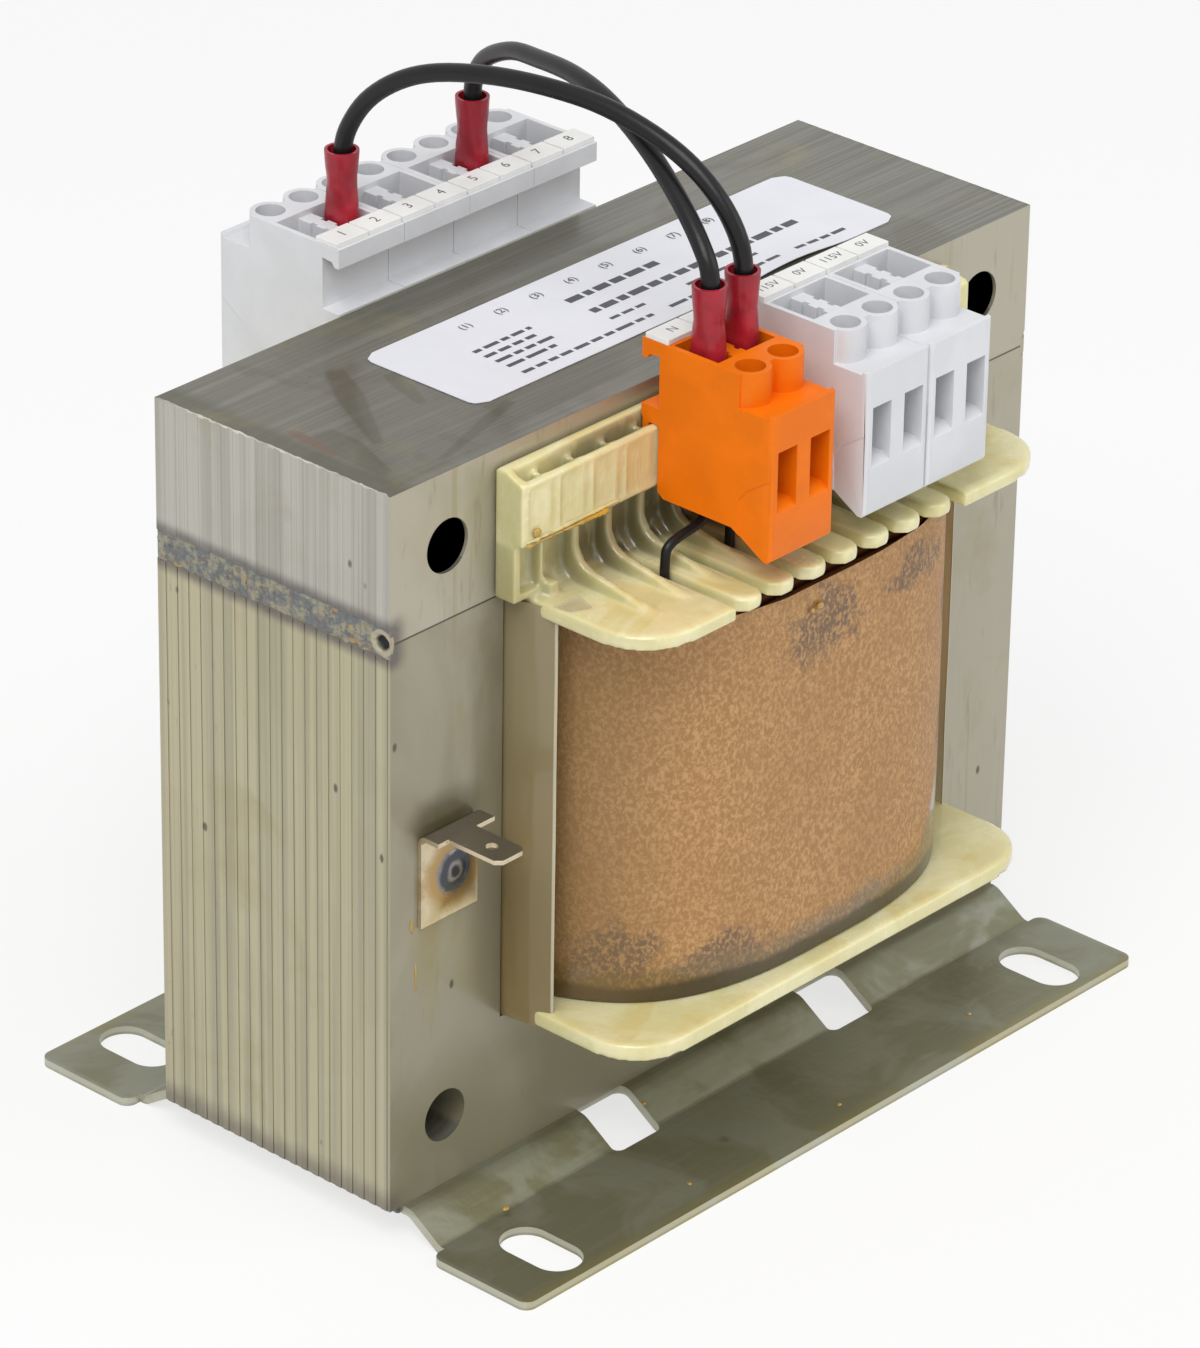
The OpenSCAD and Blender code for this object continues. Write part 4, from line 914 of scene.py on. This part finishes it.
def addMarks(name, marks, size):      # figures as thin meshes that lie on a level face
    points, faces = [], []
    for text, x, y, z in marks:
        curve = bpy.data.curves.new("mark", "FONT")
        curve.body = text
        curve.size = size
        curve.align_x = "CENTER"
        curve.align_y = "CENTER"
        curve.resolution_u = 3
        shape = bpy.data.objects.new("mark", curve)
        mesh = shape.to_mesh()
        at = len(points)
        points += [((x + v.co.x) * mm, (y + v.co.y) * mm, z * mm) for v in mesh.vertices]
        faces += [tuple(at + i for i in p.vertices) for p in mesh.polygons]
        shape.to_mesh_clear()
        bpy.data.objects.remove(shape)
        bpy.data.curves.remove(curve)
    ink = addMesh(name, points, faces, "printInk")


marks = {"front": ("N", "L", "115V", "0V", "115V", "0V"), "frontSize": 2.3, "rearSize": 2.7, "lift": 0.015,
         # numbers along the label: first place, pitch, distance across, height over the paper
         "label": 8, "labelSize": 2.2, "labelPlace": (-30, 8.1, 8.2), "labelLift": 0.18}
tagLow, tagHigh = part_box("tags_rear")
tagTop = tagHigh.z / mm + marks["lift"]
tagY = (tagLow.y + tagHigh.y) / 2 / mm
rearMarks = [(str(i + 1), x, tagY, tagTop) for i, x in enumerate(rearPoles)]
frontMarks = [(word, x, -tagY, tagTop) for word, x in zip(marks["front"], frontPoles)]
firstX, step, markY = marks["labelPlace"]
markZ = labelHeight(0, 8, label) + marks["labelLift"]
numbers = [("(%d)" % (i + 1), label["x"] + firstX + step * i, markY, markZ) for i in range(marks["label"])]
addMarks("marksRear", rearMarks, marks["rearSize"])
addMarks("marksFront", frontMarks, marks["frontSize"])
addMarks("labelNumbers", numbers, marks["labelSize"])
print("label and marks made")


# ---- varnish: runs, beads and drops that set where the part drained ----

varnish = {
    # along an edge: from, to, mean radius, how far the radius wanders
    "runs": {
        "edgeVarnish": ((-75, 24.5, 130.6), (-75, -24.5, 130.6), 0.22, 0.8, "clearVarnish", "core_steel"),
        "railVarnish": ((-51.5, -31, 115.9), (-33, -31, 115.8), 0.34, 0.9, "amberVarnish", "natural_nylon"),
        "railVarnishUpper": ((-51.5, -31, 116.5), (-30.5, -31, 116.6), 0.3, 0.9, "paleVarnish", "natural_nylon"),
    },
    "runSides": 10, "dropRows": 8, "dropSides": 14,
    # place and half sizes of each drop
    "drops": [((-5.5, -50.8, 96.2), (0.8, 0.35, 0.55)), ((-7.2, -50.7, 95.9), (0.45, 0.3, 0.4)),
              ((-49.2, -31.15, 117.6), (0.9, 0.3, 0.75)), ((-70.2, -25.0, 55.2), (0.35, 0.3, 1.2)),
              ((-69.2, -25.0, 45.8), (0.22, 0.2, 2.6)), ((4, -50.2, 1.55), (0.5, 0.4, 0.18)),
              ((-31, -48.9, 1.55), (0.35, 0.4, 0.15)), ((41, -46.8, 1.55), (0.4, 0.4, 0.16)),
              ((-58.5, -34.6, 3.1), (0.7, 0.5, 0.35)), ((-21.5, -30.4, 4.6), (0.4, 0.4, 0.3))],
}


def addRun(name, start, end, radius, wander, finish, slot):
    a, b = Vector(start), Vector(end)
    steps = int((b - a).length * 2.2)
    path = [(a + (b - a) * i / steps) * mm for i in range(steps + 1)]

    def width(t):
        n = noise.noise(Vector((t * steps * 0.27, radius * 40, 1)))
        n += 0.5 * noise.noise(Vector((t * steps * 0.9, 5, radius * 9)))
        return radius * mm * max(0.25, 1 + wander * n) * (0.2 if t in (0, 1) else 1)
    points, faces = loft(ringsAlong(path, width, varnish["runSides"], Vector((0, 0.3, 1))), True)
    low, high = cadBounds[0].x + 0.02 * mm, cadBounds[1].x
    run = soften(addMesh(name, [(max(low, min(high, p[0])), p[1], p[2]) for p in points], faces, finish), 70)


for name, values in varnish["runs"].items():
    addRun(name, *values)


def addDrops(v):
    rows, count = v["dropRows"], v["dropSides"]
    around = [2 * math.pi * k / count for k in range(count)]
    points, faces = [], []
    for (cx, cy, cz), (rx, ry, rz) in v["drops"]:
        rings = []
        for j in range(rows + 1):
            out = math.sin(math.pi * (j + 0.02) / rows)
            z = (cz - rz * math.cos(math.pi * j / rows)) * mm
            rings.append([((cx + rx * out * math.cos(a)) * mm, (cy + ry * out * math.sin(a)) * mm, z)
                          for a in around])
        more, sides = loft(rings, True, len(points))
        points += more
        faces += sides
    drop = soften(addMesh("varnishDrops", points, faces, "amberVarnish"), 80)


addDrops(varnish)
print("varnish made")


# ---- rigid pieces that keep their CAD form, with worked edges ----

edges = {                                   # node: piece name, finish, slot, edge radius in mm
    "base_plate": ("basePlate", "baseZinc", "base_zinc", 0.22),
    "earth_tab": ("earthTab", "brassTin", "tinned_brass", 0.08),
    "terminal_orange": ("blockOrange", "orangeBlock", "orange_polyamide", 0.2),
    **{"terminal_%s_%d" % (row, i + 1): ("block%s%d" % (row.title(), i + 1), "greyBlock", "grey_polyamide", 0.2)
       for row, count in (("front", 2), ("rear", 4)) for i in range(count)},
    "tags_front": ("tagsFront", "whiteTag", "white_tag", 0.12),
    "tags_rear": ("tagsRear", "whiteTag", "white_tag", 0.12),
}
for node, (name, finish, slot, radius) in edges.items():
    roundEdges(copySolid(node, name, finish), radius * mm)
print("pieces with worked edges:", len(edges))

bobbinMould = {"voxel": 0.5, "ease": 0.5, "rounds": 5, "share": 0.27}


def makeBobbin(m):                          # the moulding's corners are all soft, so it is remeshed finely
    bobbin = copySolid("bobbin", "combBobbin", "nylon")
    modify(bobbin, "REMESH", mode="VOXEL", voxel_size=m["voxel"] * mm)
    modify(bobbin, "SMOOTH", factor=m["ease"], iterations=m["rounds"])
    modify(bobbin, "DECIMATE", ratio=m["share"])
    fixed = bpy.data.meshes.new_from_object(bobbin.evaluated_get(bpy.context.evaluated_depsgraph_get()))
    bobbin.modifiers.clear()
    bobbin.data = fixed
    bobbin.data.shade_smooth()
    print("bobbin faces:", len(fixed.polygons))


makeBobbin(bobbinMould)


# ---- light and floor ----

studio = {
    "floor": 3.0, "floorTone": (0.9, 0.9, 0.9), "world": 0.5, "paper": 0.7,
    # each lamp: place, size, power
    "lamps": {"keyLight": ((-0.9, -0.5, 1.6), 1.2, 22.0), "fillLight": ((1.0, -1.4, 1.0), 1.2, 7.0)},
    "aim": (0, 0, 0.08),
}


def seenFlat(nodes, links, lit, amount):    # plain white where the camera, gloss or glass looks at it
    path = nodes.new("ShaderNodeLightPath")
    total = path.outputs["Is Camera Ray"]
    for ray in ("Is Glossy Ray", "Is Transmission Ray"):
        add = nodes.new("ShaderNodeMath")
        add.operation = "ADD"
        add.use_clamp = True
        links.new(total, add.inputs[0])
        links.new(path.outputs[ray], add.inputs[1])
        total = add.outputs[0]
    part = nodes.new("ShaderNodeMath")
    part.operation = "MULTIPLY"
    part.inputs[1].default_value = amount
    links.new(total, part.inputs[0])
    mix = nodes.new("ShaderNodeMixShader")
    white = nodes.new("ShaderNodeEmission" if amount < 1 else "ShaderNodeBackground")
    links.new(part.outputs[0], mix.inputs[0])
    links.new(lit, mix.inputs[1])
    links.new(white.outputs[0], mix.inputs[2])
    return mix.outputs[0]


def addStudio(setup):
    bpy.ops.mesh.primitive_plane_add(size=setup["floor"] * 2)
    floor = bpy.context.object
    floor.name = "floor"
    f = Finish("floorPaper")
    f.set(colour=setup["floorTone"], roughness=0.9)
    output = f.nodes["Material Output"]
    f.links.new(seenFlat(f.nodes, f.links, f.shader.outputs[0], setup["paper"]), output.inputs["Surface"])
    floor.data.materials.append(f.material)
    for name, (place, size, power) in setup["lamps"].items():
        data = bpy.data.lights.new(name, "AREA")
        data.energy = power
        data.size = size
        lamp = bpy.data.objects.new(name, data)
        lamp.location = place
        lamp.rotation_euler = (Vector(setup["aim"]) - Vector(place)).to_track_quat("-Z", "Y").to_euler()
        bpy.context.collection.objects.link(lamp)
    world = bpy.data.worlds.new("studio")
    world.use_nodes = True
    nodes, links = world.node_tree.nodes, world.node_tree.links
    nodes["Background"].inputs["Color"].default_value = (1, 1, 1, 1)
    nodes["Background"].inputs["Strength"].default_value = setup["world"]
    links.new(seenFlat(nodes, links, nodes["Background"].outputs[0], 1), nodes["World Output"].inputs["Surface"])
    bpy.context.scene.world = world


addStudio(studio)
bpy.context.scene.view_settings.view_transform = "Standard"
print("light and floor made, lamps:", len(studio["lamps"]))
